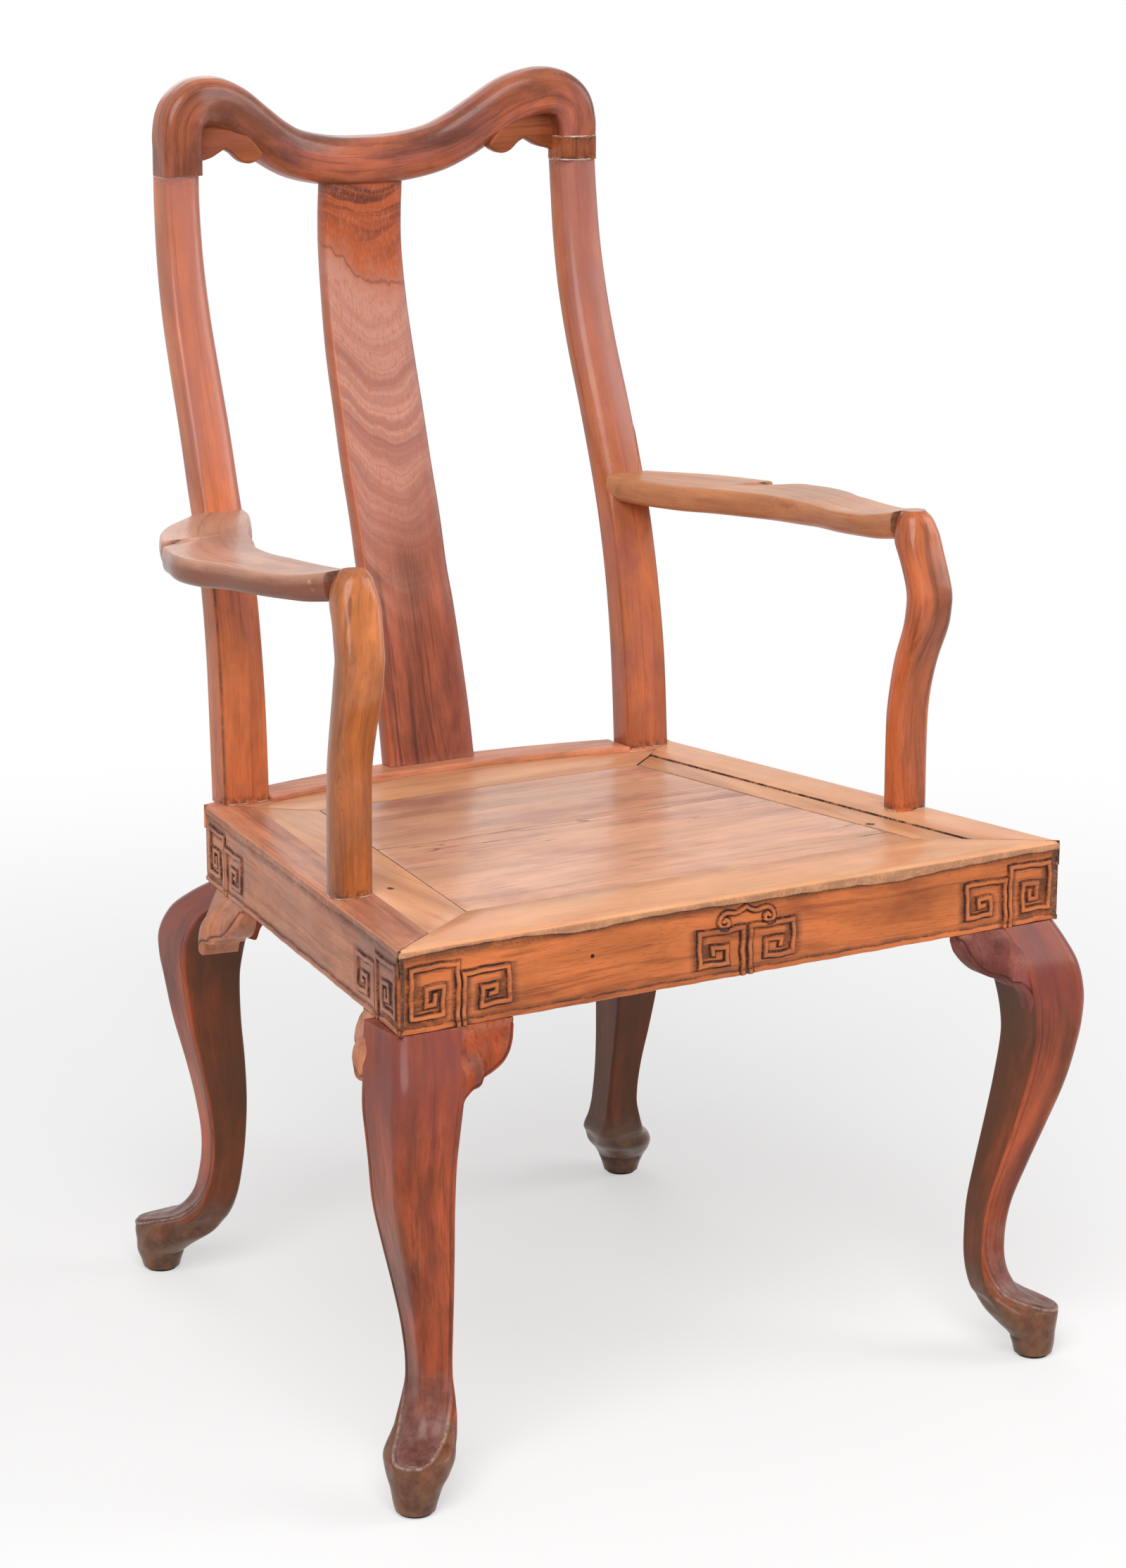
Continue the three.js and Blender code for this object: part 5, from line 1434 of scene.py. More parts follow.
SUPPORT_TABLE = smooth_table(SUPPORT)


def support_at(height):
    bottom = SEAT_HEIGHT + FIT
    share = (height - bottom) / (SUPPORT_TOP - bottom)
    sway, splay, width, thickness = np.moveaxis(SUPPORT_TABLE(share), -1, 0)
    return SUPPORT_X + splay * SUPPORT_SPLAY, SUPPORT_Y - sway * SUPPORT_SWAY, width, thickness


def support_piece():
    """The right arm's support, swan-necked, with a round head."""
    neck = np.linspace(SEAT_HEIGHT + FIT, SUPPORT_TOP - 26, 70)
    heights = np.concatenate([neck, np.linspace(SUPPORT_TOP - 25, SUPPORT_TOP, 22)])
    bm = bmesh.new()
    rings, lies = [], []
    for height in heights:
        x, y, width, thickness = support_at(height)
        wide, deep = width * SUPPORT_WIDTH, thickness * SUPPORT_THICKNESS
        radius = min(7.5, deep / 2 - 1)
        head = smooth_step(SUPPORT_TOP - 30, SUPPORT_TOP - 4, height)
        radius = radius + (min(wide, deep) / 2 - 0.5 - radius) * float(head) * 0.8
        ring = section(wide, deep, (radius, radius, radius, radius), turns=8, flats=5, crown=0.7)
        rings.append([(x + a, y + b, height) for a, b in ring])
        lies.append([(height, a, b) for a, b in ring])
    loft(bm, rings, lies)
    return bm


def cut_box(piece, low, high):
    """Cuts a box-shaped space out of a finished piece."""
    bm = bmesh.new()
    bmesh.ops.create_cube(bm, size=1)
    size = Vector(high) - Vector(low)
    bmesh.ops.scale(bm, vec=size, verts=bm.verts)
    bmesh.ops.translate(bm, vec=(Vector(high) + Vector(low)) / 2, verts=bm.verts)
    bm.transform(TO_FRAME)
    mesh = bpy.data.meshes.new("cutter")
    bm.to_mesh(mesh)
    bm.free()
    cutter = bpy.data.objects.new("cutter", mesh)
    bpy.context.scene.collection.objects.link(cutter)
    made = piece.modifiers.new("cut", "BOOLEAN")
    made.operation, made.solver, made.object = "DIFFERENCE", "EXACT", cutter
    depsgraph = bpy.context.evaluated_depsgraph_get()
    carved = bpy.data.meshes.new_from_object(piece.evaluated_get(depsgraph))
    piece.modifiers.remove(made)
    old = piece.data
    piece.data = carved
    bpy.data.meshes.remove(old)
    bpy.data.objects.remove(cutter)
    bpy.data.meshes.remove(mesh)


POST_TOP_X = POST_X - POST_DRAW
POST_TOP_Y = POST_BASE_Y + POST_RAKE
VALLEY_MIDDLE = VALLEY_HEIGHT - CREST_WIDTHS[1] / 2
HUMP_MIDDLE = HUMP_HEIGHT - CREST_WIDTHS[1] / 2


def crest_stops():
    """Points along the crest's middle line, and how full it is there, from the right end to the left."""
    rows = np.array(CREST)
    points = np.stack(
        [
            rows[:, 0] * POST_TOP_X,
            POST_TOP_Y + rows[:, 2] * CREST_BOW,
            VALLEY_MIDDLE + (HUMP_MIDDLE - VALLEY_MIDDLE) * rows[:, 1],
        ],
        1,
    )
    points = np.concatenate([[[POST_TOP_X, POST_TOP_Y, POST_JOINT - 10.0]], points])
    belly = np.concatenate([[0.0], rows[:, 3]])
    left = points[:-1][::-1] * (-1, 1, 1)
    return np.concatenate([points, left]), np.concatenate([belly, belly[:-1][::-1]])


def crest_curve(points, per_stop):
    """An even curve through the stops, drawn with centripetal spacing."""
    ends = np.concatenate([[2 * points[0] - points[1]], points, [2 * points[-1] - points[-2]]])
    curve = []
    for k in range(len(points) - 1):
        p = ends[k : k + 4]
        d = np.maximum(np.linalg.norm(np.diff(p, axis=0), axis=1) ** 0.5, 1e-4)
        a = ((p[1] - p[0]) / d[0] - (p[2] - p[0]) / (d[0] + d[1]) + (p[2] - p[1]) / d[1]) * d[1]
        b = ((p[2] - p[1]) / d[1] - (p[3] - p[1]) / (d[1] + d[2]) + (p[3] - p[2]) / d[2]) * d[1]
        for t in np.arange(per_stop) / per_stop:
            curve.append(
                p[1] * (2 * t**3 - 3 * t**2 + 1)
                + a * (t**3 - 2 * t**2 + t)
                + p[2] * (3 * t**2 - 2 * t**3)
                + b * (t**3 - t**2)
            )
    curve.append(points[-1])
    return np.array(curve)


def crest_piece():
    """The whole crest rail, round in section, from one post over both humps to the other."""
    points, belly = crest_stops()
    per_stop = 9
    curve = crest_curve(points, per_stop)
    full = np.interp(np.arange(len(curve)) / per_stop, np.arange(len(belly)), belly)
    way = np.gradient(curve, axis=0)
    way /= np.linalg.norm(way, axis=1)[:, None]
    run = np.concatenate([[0], np.cumsum(np.linalg.norm(np.diff(curve, axis=0), axis=1))])
    bm = bmesh.new()
    rings, lies = [], []
    for middle, tangent, fat, along in zip(curve, way, full, run):
        deep_way = np.array([0.0, 1.0, 0.0]) - tangent * tangent[1]
        deep_way /= np.linalg.norm(deep_way)
        across = np.cross(tangent, deep_way)
        width = CREST_WIDTHS[0] + (CREST_WIDTHS[1] - CREST_WIDTHS[0]) * fat
        deep = CREST_DEPTHS[0] + (CREST_DEPTHS[1] - CREST_DEPTHS[0]) * fat
        radius = CREST_RADII[0] + (CREST_RADII[1] - CREST_RADII[0]) * fat
        ring = section(width, deep, (radius,) * 4, turns=9, flats=5, crown=0.9 * fat)
        rings.append([middle + across * a + deep_way * b for a, b in ring])
        lies.append([(along, a, b) for a, b in ring])
    loft(bm, rings, lies)
    return bm


def crest_bracket():
    """The carved bracket under the right-hand hump: a cusp by the post, then a round lobe."""
    face = POST_TOP_X - CREST_WIDTHS[0] / 2
    a, b = np.array(CREST_BRACKET).T
    outline = np.stack([face - a * CREST_BRACKET_REACH, POST_JOINT + b * CREST_BRACKET_RISE], 1)
    smooth = []
    count = len(outline)
    for k in range(count):
        p = outline[[(k - 1) % count, k, (k + 1) % count, (k + 2) % count]]
        keep_sharp = k in (2, 3)
        for t in np.arange(5) / 5:
            if keep_sharp:
                smooth.append(p[1] + (p[2] - p[1]) * t)
                continue
            smooth.append(
                0.5
                * (
                    2 * p[1]
                    + (p[2] - p[0]) * t
                    + (2 * p[0] - 5 * p[1] + 4 * p[2] - p[3]) * t**2
                    + (3 * p[1] - p[0] - 3 * p[2] + p[3]) * t**3
                )
            )
    bm = bmesh.new()
    front = POST_TOP_Y + 4.0
    rim = [bm.verts.new((x, front, z)) for x, z in smooth]
    base = bm.faces.new(rim)
    made = bmesh.ops.extrude_face_region(bm, geom=[base])["geom"]
    raised = [item for item in made if isinstance(item, bmesh.types.BMVert)]
    bmesh.ops.translate(bm, verts=raised, vec=(0, 12.0, 0))
    rims = [e for e in bm.edges if len(e.link_faces) == 2 and e.calc_face_angle(0) > 1.2]
    bmesh.ops.bevel(
        bm, geom=rims, offset=2.2, offset_type="OFFSET", segments=4, profile=0.5, affect="EDGES",
        material=-1,
    )
    return bm


SPLAT_BASE_Y = back_edge(0) - 1.0 - SPLAT_THICKNESS / 2


def splat_piece():
    """The splat, curved to the sitter's back."""
    table = smooth_table(SPLAT)
    bottom, top = BACK_RAIL_TOP + FIT, VALLEY_HEIGHT - CREST_WIDTHS[1]
    bm = bmesh.new()
    rings, lies = [], []
    for share in np.concatenate([np.linspace(0, 1, 76), [1.012]]):
        rake, width = table(min(share, 1.0))
        y = SPLAT_BASE_Y + rake * SPLAT_RAKE
        z = bottom + (top - bottom) * share
        ring = section(width * SPLAT_WIDTH, SPLAT_THICKNESS, (3.5,) * 4, turns=6, flats=12, crown=0.5)
        rings.append([(a, y + b, z) for a, b in ring])
        lies.append([(z, a, b) for a, b in ring])
    loft(bm, rings, lies)
    return bm


# What a user may change


def number_property(name, description, value, **options):
    return FloatProperty(name=name, description=description, default=value, **options)


class ArmchairCarving(bpy.types.PropertyGroup):
    bar_width: number_property("Fret bar width", "Width of a raised fret bar, in millimetres", 4.6)
    relief: number_property("Fret relief", "How far a fret bar stands up, in millimetres", 2.1)
    rim_height: number_property("Toe rim height", "Height of a foot's rim at the toe, in millimetres", 45.0)
    ankle_height: number_property("Ankle height", "Height where a foot's rim ends, in millimetres", 104.0)
    dish_depth: number_property("Dish depth", "Depth of the hollow in a foot, in millimetres", 2.6)
    groove_depth: number_property("Groove depth", "Depth of the line by a leg's bead, in millimetres", 1.0)
    ear_bead: number_property("Ear bead width", "Width of the bead round a knee ear, in millimetres", 3.2)


def colour_property(name, description, value):
    return FloatVectorProperty(
        name=name, description=description, default=value, size=4, min=0, max=1, subtype="COLOR"
    )


class ArmchairColours(bpy.types.PropertyGroup):
    honey: colour_property("Honey", "Pale wood of the front board and strips", tint(226, 164, 120))
    tan: colour_property("Tan", "Wood of the seat's boards", tint(222, 164, 130))
    orange: colour_property("Orange brown", "Wood of the front apron", tint(200, 112, 62))
    russet: colour_property("Russet", "Wood of the side rails", tint(200, 130, 96))
    leg: colour_property("Leg brown", "Wood of the legs", tint(150, 66, 33))
    post: colour_property("Post red", "Wood of the back posts", tint(198, 108, 62))
    crest: colour_property("Crest red", "Wood of the crest rail", tint(162, 84, 52))
    splat: colour_property("Splat brown", "Wood of the splat", tint(176, 92, 62))
    arm: colour_property("Arm brown", "Wood of the greyed arm", tint(190, 138, 114))
    arm_pale: colour_property("Arm honey", "Wood of the paler arm", tint(198, 134, 92))
    support: colour_property("Support olive", "Wood of the golden arm support", tint(182, 104, 54))
    support_red: colour_property("Support red", "Wood of the redder arm support", tint(172, 90, 50))
    shade: colour_property("Streak", "Dark streaks in every wood", tint(96, 40, 24))
    plum: colour_property("Plum", "Purple bloom on old wood", tint(122, 68, 70))
    floor: colour_property("Floor", "Studio floor", tint(250, 250, 250))


class ArmchairStudio(bpy.types.PropertyGroup):
    key_power: number_property("Key light", "Power of the large light at the upper left, in watts", 120.0)
    fill_power: number_property("Fill light", "Power of the soft light at the right, in watts", 34.0)
    sky: number_property("Sky", "Strength of the even white light all round", 0.36)
    floor_radius: number_property("Floor radius", "How far the floor reaches", 2.6, unit="LENGTH")


def shade_of(colour, factor):
    """A colour made darker or lighter by a factor."""
    return tuple(min(1.0, value * factor) for value in list(colour)[:3]) + (1.0,)


def seen_white(bench):
    """1 for the rays that see the white studio: the camera's, reflected ones and those through glass."""
    path = bench.node("ShaderNodeLightPath").outputs
    seen = bench.maths("MAXIMUM", path["Is Camera Ray"], path["Is Transmission Ray"])
    return bench.maths("MAXIMUM", seen, path["Is Glossy Ray"])


class ARMCHAIR_OT_stage(bpy.types.Operator):
    """Sets the camera, the pale floor and the studio lights"""

    bl_idname = "armchair.stage"
    bl_label = "Stage"

    def execute(self, context):
        studio, colours = context.scene.armchair_studio, context.scene.armchair_colours
        scene = context.scene
        scene.view_settings.view_transform = "Standard"
        camera_data = bpy.data.cameras.new("photo_camera")
        camera_data.lens = FOCAL_LENGTH / PHOTO_HEIGHT * SENSOR
        camera_data.sensor_width = SENSOR
        camera_data.shift_y = CAMERA_SHIFT
        camera_data.clip_end = 100.0
        camera = add_object("photo_camera", camera_data)
        camera.location = (Vector(CAMERA_PLACE) + Vector((0, PLAN_SHIFT, 0))) * MM
        camera.rotation_euler = (math.radians(90 - CAMERA_DIP), 0, math.radians(CAMERA_TURN))
        scene.camera = camera

        bm = bmesh.new()
        bmesh.ops.create_circle(bm, cap_ends=True, segments=96, radius=studio.floor_radius)
        mesh = bpy.data.meshes.new("studio_floor")
        bm.to_mesh(mesh)
        bm.free()
        floor = add_object("studio_floor", mesh)
        material, bench = new_material("Studio floor")
        place = bench.node("ShaderNodeTexCoord").outputs["Object"]
        reach = bench.vector("LENGTH", place, output="Value")
        mottle = bench.noise(place, (0.8, 0.8, 0.8), 2.0)
        mottled = bench.spread(mottle, 0.3, 0.7, 0.0, 0.02)
        colour = bench.mix(mottled, tuple(colours.floor), tint(240, 240, 240))
        cover = bench.spread(reach, studio.floor_radius * 0.3, studio.floor_radius * 0.9, 1.0, 0.0)
        matt = bench.node("ShaderNodeBsdfDiffuse", Color=colour)
        glow = bench.node("ShaderNodeEmission", Color=(1, 1, 1, 1), Strength=1.0)
        seen = bench.times(seen_white(bench), 0.45)
        lit = bench.blend(seen, matt, glow)
        blend = bench.blend(cover, bench.node("ShaderNodeBsdfTransparent"), lit)
        bench.node("ShaderNodeOutputMaterial", Surface=blend.outputs[0])
        mesh.materials.append(material)

        world = bpy.data.worlds.new("Studio white")
        world.use_nodes = True
        scene.world = world
        bench = Bench(world.node_tree)
        world.node_tree.nodes.clear()
        seen = seen_white(bench)
        strength = bench.node("ShaderNodeMix")
        bench.feed(strength.inputs[0], seen)
        bench.feed(strength.inputs[2], studio.sky)
        bench.feed(strength.inputs[3], 1.0)
        glow = bench.node("ShaderNodeBackground", Color=(1, 1, 1, 1), Strength=strength.outputs[0])
        bench.node("ShaderNodeOutputWorld", Surface=glow.outputs[0])

        lamps = (
            ("key_light", studio.key_power, (-1.7, -2.3, 3.0), 3.2),
            ("fill_light", studio.fill_power, (2.6, -1.6, 1.9), 2.0),
            ("back_light", studio.fill_power * 0.4, (0.6, 2.9, 2.6), 2.4),
        )
        for name, power, spot, size in lamps:
            data = bpy.data.lights.new(name, "AREA")
            data.energy, data.shape, data.size = power, "DISK", size
            data.specular_factor = 0.0 if name == "back_light" else 1.0
            lamp = add_object(name, data)
            lamp.location = spot
            lamp.rotation_euler = (Vector((0, 0, 0.5)) - Vector(spot)).to_track_quat("-Z", "Y").to_euler()
        return {"FINISHED"}


def along_x(points):
    return points


def along_y(points):
    return np.stack([points[:, 1], points[:, 0], points[:, 2]], 1)


def joint_stain(points):
    """Dark dirt in the joints round a board of the seat."""
    return 0.85 * smooth_step(PANEL_TOP - 0.12, PANEL_TOP - 0.5, points[:, 2])


def mitre_depth(u, slope, length, slope_end, most):
    return max(0.5, min(most, u * slope, (length - u) * slope_end))


class ARMCHAIR_OT_seat_frame(bpy.types.Operator):
    """Builds the seat frame's boards and carved aprons"""

    bl_idname = "armchair.seat_frame"
    bl_label = "Seat frame"

    def execute(self, context):
        carving, colours = context.scene.armchair_carving, context.scene.armchair_colours
        shade, plum = tuple(colours.shade), tuple(colours.plum)
        honey = timber(
            "Honey board", shade_of(colours.honey, 1.12), tuple(colours.honey),
            shade_of(colours.russet, 0.9), shade_of(colours.russet, 1.15), seed=1.0, streaks=0.28,
            bloom_amount=0.35, wave=0.02, roughness=0.36, coat=0.15, cloudy=0.12,
        )
        russet = timber(
            "Russet board", shade_of(colours.russet, 1.35), shade_of(colours.russet, 1.05),
            shade_of(shade, 1.3), plum, seed=2.0, streaks=0.45, bloom_amount=0.35,
        )
        orange = timber(
            "Carved apron", shade_of(colours.orange, 1.2), tuple(colours.orange), shade,
            shade_of(shade, 1.6), seed=3.0, streaks=0.5, bloom_amount=0.5, fine=0.45, wave=0.03,
            bump=0.0003, spots=((NAIL_HOLE, tint(30, 22, 20)),),
        )
        side_apron = timber(
            "Carved side apron", shade_of(colours.russet, 1.15), tuple(colours.russet), shade, plum,
            seed=4.0, streaks=0.45, bloom_amount=0.4, fine=0.4, wave=0.02,
        )
        corner = half_width(SEAT_FRONT)
        slope = FRONT_RAIL_WIDTH / (corner - FRONT_MITRE[0])
        bm = frame_board(
            "front", FRONT_LIP, lambda u: mitre_depth(u, slope, SEAT_FRONT_WIDTH, slope, FRONT_RAIL_WIDTH),
            LIP,
        )
        finish_piece("front_board", bm, honey, "seat_front_rail", reach=1, scale=2)
        for side, width in SIDE_WIDTHS.items():
            corner_points = []
            for corner_y, inner in ((SEAT_FRONT, FRONT_MITRE), (SEAT_BACK, BACK_MITRE)):
                x, y = mitre_point(corner_y, inner, width)
                spot = np.array([x - half_width(SEAT_FRONT), y - SEAT_FRONT])
                corner_points.append((float(spot @ SIDE_WAY[:2]), -float(spot @ SIDE_OUT[:2])))
            (u_front, v_front), (u_back, v_back) = corner_points
            slopes = v_front / u_front, v_back / (SIDE_LENGTH - u_back)
            bm = frame_board(
                "side", SIDE_LIP, lambda u: mitre_depth(u, slopes[0], SIDE_LENGTH, slopes[1], v_front), 0.9
            )
            wood = honey if side == "right" else russet
            finish_piece(
                f"side_board_{side}", bm, wood, f"seat_side_rail_{side}", side, reach=1,
                scale=2,
            )

        def mirrored_bar(bar, length, shift=0.0):
            return [(length - u + shift, z) for u, z in bar]

        middle = SEAT_FRONT_WIDTH / 2 + 1.2
        scroll = [(middle + u, z) for u, z in SCROLL]
        scroll = [(middle - u, z) for u, z in SCROLL[:0:-1]] + scroll
        frets = [TALL_FRET, LOW_FRET]
        frets += [mirrored_bar(bar, SEAT_FRONT_WIDTH, 2.8) for bar in (TALL_FRET, LOW_FRET)]
        frets += [[(middle + u, z) for u, z in MIDDLE_FRET], [(middle - u, z) for u, z in MIDDLE_FRET]]
        bm = carved_apron("front", frets, scroll, carving.relief, carving.bar_width, 0.4)
        finish_piece("front_apron", bm, orange, reach=3, scale=0.3)
        for side, seed in (("left", 2.1), ("right", 3.7)):
            frets = [TALL_FRET, LOW_FRET]
            frets += [mirrored_bar(bar, SIDE_LENGTH) for bar in (TALL_FRET, LOW_FRET)]
            bm = carved_apron("side", frets, None, carving.relief * 0.8, carving.bar_width, seed)
            finish_piece(f"side_apron_{side}", bm, side_apron, side=side, reach=3, scale=0.3)

        crossing = back_crossing()
        outer = bow_line(back_edge, SEAT_BACK_WIDTH / 2, -SEAT_BACK_WIDTH / 2)
        inner = bow_line(inner_back, -crossing, crossing)
        bm = bmesh.new()
        slab(bm, drawn_in(outer + inner, FIT / 2), FRAME_UNDERSIDE, SEAT_HEIGHT, grid=60)
        half = POST_X - POST_WIDTH / 2 - FIT
        raised = bow_line(back_edge, half, -half) + bow_line(inner_back, -half, half)
        slab(bm, drawn_in(raised, FIT / 2), SEAT_HEIGHT - 3, BACK_RAIL_TOP, grid=60)
        apron = []
        reach = SEAT_BACK_WIDTH / 2
        for end, deep in ((reach - 3, LIP), (30 - reach, LIP + APRON_THICKNESS)):
            apron += [(x, y - deep) for x, y in bow_line(back_edge, end, -end)]
        slab(bm, apron, APRON_BOTTOM, FRAME_UNDERSIDE, soften=1.6, grid=60)
        node = "seat_back_rail"
        finish_piece("back_rail_shown", bm, russet, node, lie=along_x, reach=1, scale=2)
        return {"FINISHED"}


class ARMCHAIR_OT_seat_panel(bpy.types.Operator):
    """Builds the seat's boards, the strips round them and the battens below"""

    bl_idname = "armchair.seat_panel"
    bl_label = "Seat panel"

    def execute(self, context):
        colours = context.scene.armchair_colours
        shade = tuple(colours.shade)
        strip = timber(
            "Inner strip", shade_of(colours.honey, 1.08), shade_of(colours.honey, 0.86),
            shade_of(colours.russet, 0.8), shade_of(colours.russet, 1.0), seed=6.0, streaks=0.35,
            bloom_amount=0.35, wave=0.02, cloudy=0.12,
            spots=((KNOT, tint(62, 36, 26)), (PEG_HOLE, tint(86, 30, 18))),
        )
        boards = {
            "front": timber(
                "Front seat board", shade_of(colours.tan, 1.15), tuple(colours.tan), shade_of(shade, 1.4),
                shade_of(colours.plum, 1.8), seed=7.0, streaks=0.28, bloom_amount=0.35, cracks=0.9,
                wave=0.03, fine=0.25, width=1.5, cloudy=0.12, coat=0.2, roughness=0.34,
            ),
            "back": timber(
                "Back seat board", shade_of(colours.tan, 1.05), shade_of(colours.tan, 0.86),
                shade_of(shade, 1.3), shade_of(colours.plum, 1.7), seed=8.5, streaks=0.3,
                bloom_amount=0.4, cracks=0.8, wave=0.03, fine=0.25, width=1.5, cloudy=0.14, coat=0.2,
                roughness=0.34,
            ),
        }
        for side, width in SIDE_WIDTHS.items():
            outline = [
                mitre_point(SEAT_FRONT, FRONT_MITRE, width),
                mitre_point(SEAT_BACK, BACK_MITRE, width),
                BACK_MITRE,
                FRONT_MITRE,
            ]
            bm = bmesh.new()
            worn = 2.2 if side == "right" else 0.7
            slab(bm, drawn_in(outline, FIT), PANEL_TOP - STRIP_THICKNESS, PANEL_TOP, soften=worn)
            finish_piece(
                f"inner_strip_{side}", bm, strip, f"seat_strip_{side}", side, along_y,
                joint_stain, reach=1, scale=2,
            )
        crossing = back_crossing()
        outline = bow_line(inner_back, -crossing, crossing) + [BACK_MITRE, (-BACK_MITRE[0], BACK_MITRE[1])]
        bm = bmesh.new()
        slab(bm, drawn_in(outline, FIT), PANEL_TOP - STRIP_THICKNESS, PANEL_TOP, soften=0.7, grid=60)
        finish_piece(
            "inner_strip_back", bm, strip, "seat_strip_back", lie=along_x,
            stain_and_shade=joint_stain, reach=1, scale=2,
        )
        for name, front, back in (("front", PANEL_FRONT, SEAM), ("back", SEAM, STRIP_FRONT)):
            left, right = half_width(front) - BORDER, half_width(back) - BORDER
            outline = [(-left, front), (left, front), (right, back), (-right, back)]
            bm = bmesh.new()
            slab(bm, drawn_in(outline, FIT), PANEL_TOP - BOARD_THICKNESS, PANEL_TOP, soften=0.8)
            finish_piece(
                f"seat_board_{name}_shown", bm, boards[name], f"seat_board_{name}",
                lie=along_x, stain_and_shade=joint_stain, reach=1, scale=2,
            )
        plain = timber(
            "Batten", shade_of(colours.tan, 0.9), shade_of(colours.tan, 0.7), shade, shade, seed=11.0,
            roughness=0.65, coat=0.0,
        )
        for side, x in (("right", 85.0), ("left", -85.0)):
            top = PANEL_TOP - BOARD_THICKNESS - FIT
            front, back = PANEL_FRONT + FIT, STRIP_FRONT - FIT
            outline = [(x - 15, front), (x + 15, front), (x + 15, back), (x - 15, back)]
            bm = bmesh.new()
            slab(bm, outline, top - 20.0, top, soften=1.5, grid=60)
            finish_piece(
                f"batten_{side}", bm, plain, f"panel_batten_{side}", lie=along_y,
                reach=1, scale=2,
            )
        return {"FINISHED"}


class ARMCHAIR_OT_legs(bpy.types.Operator):
    """Builds the four cabriole legs with their hollow spoon feet, and the felt under them"""

    bl_idname = "armchair.legs"
    bl_label = "Legs"

    def execute(self, context):
        carving, colours = context.scene.armchair_carving, context.scene.armchair_colours
        shade = tuple(colours.shade)
        pad = felt("Foot felt")
        for end, place in (("front", FRONT_PLACE), ("back", REAR_PLACE)):
            for side, factor in (("right", 0.92), ("left", 1.0)):
                wood = timber(
                    f"Leg {end} {side}", shade_of(colours.leg, 1.5 * factor),
                    shade_of(colours.leg, factor), shade_of(shade, 0.45), tint(112, 64, 34),
                    seed=12.0 + len(end) + factor * 7, streaks=0.6, bloom_amount=0.5, rub_amount=0.12,
                    trodden=True, roughness=0.32, coat=0.2, cloudy=0.5,
                )
                bm = carved_leg(place, carving)
                node = f"leg_{end}_{side}"
                finish_piece(f"cabriole_leg_{end}_{side}", bm, wood, node, side)
                bm = bmesh.new()
                spot = leg_point(place, np.array([0.0, 2.0]), PAD)[0].mean(0)
                bmesh.ops.create_cone(
                    bm, cap_ends=True, segments=40, radius1=14.0, radius2=14.4, depth=PAD - 0.1,
                    matrix=Matrix.Translation((spot[0], spot[1], PAD / 2)),
                )
                rims = [edge for edge in bm.edges if edge.calc_face_angle(0) > 1]
                bmesh.ops.bevel(
                    bm, geom=rims, offset=0.5, segments=2, profile=0.5, affect="EDGES", material=-1
                )
                node = f"foot_pad_{end}_{side}"
                finish_piece(f"felt_pad_{end}_{side}", bm, pad, node, side, along_x)
        return {"FINISHED"}


class ARMCHAIR_OT_knee_ears(bpy.types.Operator):
    """Builds the lobed ears between the knees and the rails"""

    bl_idname = "armchair.knee_ears"
    bl_label = "Knee ears"

    def execute(self, context):
        carving, colours = context.scene.armchair_carving, context.scene.armchair_colours
        shade, plum = tuple(colours.shade), tuple(colours.plum)
        dark = {
            "right": timber(
                "Purple ear", tint(138, 74, 66), tint(108, 52, 46), shade_of(shade, 0.6),
                shade_of(plum, 1.0), seed=21.0, streaks=0.4, bloom_amount=0.4, cracks=0.7, cloudy=0.4,
                coat=0.0, roughness=0.5,
            ),
            "left": timber(
                "Brown ear", shade_of(colours.leg, 1.35), shade_of(colours.leg, 0.95),
                shade_of(shade, 0.7), plum, seed=21.5, streaks=0.5, bloom_amount=0.6, cracks=0.7,
                cloudy=0.4, coat=0.0, roughness=0.5,
            ),
        }
        pale = timber(
            "Side ear", shade_of(colours.russet, 1.15), shade_of(colours.russet, 0.92), shade, plum,
            seed=22.0, streaks=0.4, bloom_amount=0.3,
        )

        def side_start(y):
            return np.array([half_width(y), y, 0.0]) - SIDE_OUT * LIP

        back_end = REAR_PLACE.x - 82.0
        back_start = np.array([REAR_PLACE.x, back_edge(REAR_PLACE.x), 0.0])
        back_way = np.array([back_end, back_edge(back_end), 0.0]) - back_start
        back_way /= np.linalg.norm(back_way)
        back_out = np.array([back_way[1], -back_way[0], 0.0])
        front_start = np.array([FRONT_PLACE.x, SEAT_FRONT + LIP, 0.0])
        ears = (
            ("front", front_start, np.array([-1.0, 0, 0]), np.array([0, -1.0, 0]), 76.0, 1.0, "leg_wood"),
            ("front_side", side_start(FRONT_PLACE.y), SIDE_WAY, SIDE_OUT, 58.0, 0.72, "strip_wood"),
            ("back_side", side_start(REAR_PLACE.y), -SIDE_WAY, SIDE_OUT, 74.0, 0.9, "strip_wood"),
            ("back", back_start - back_out * LIP, back_way, back_out, 82.0, 1.0, "leg_wood"),
        )
        for name, start, way, out, reach, fall, slot in ears:
            for side in ("right", "left"):
                wood = pale if slot == "strip_wood" else dark[side]
                bm = knee_ear(start, way, out, reach, fall * EAR_DROP, name == "front", carving.ear_bead)
                node = f"knee_bracket_{name}_{side}"
                finish_piece(f"knee_ear_{name}_{side}", bm, wood, node, side)
        return {"FINISHED"}


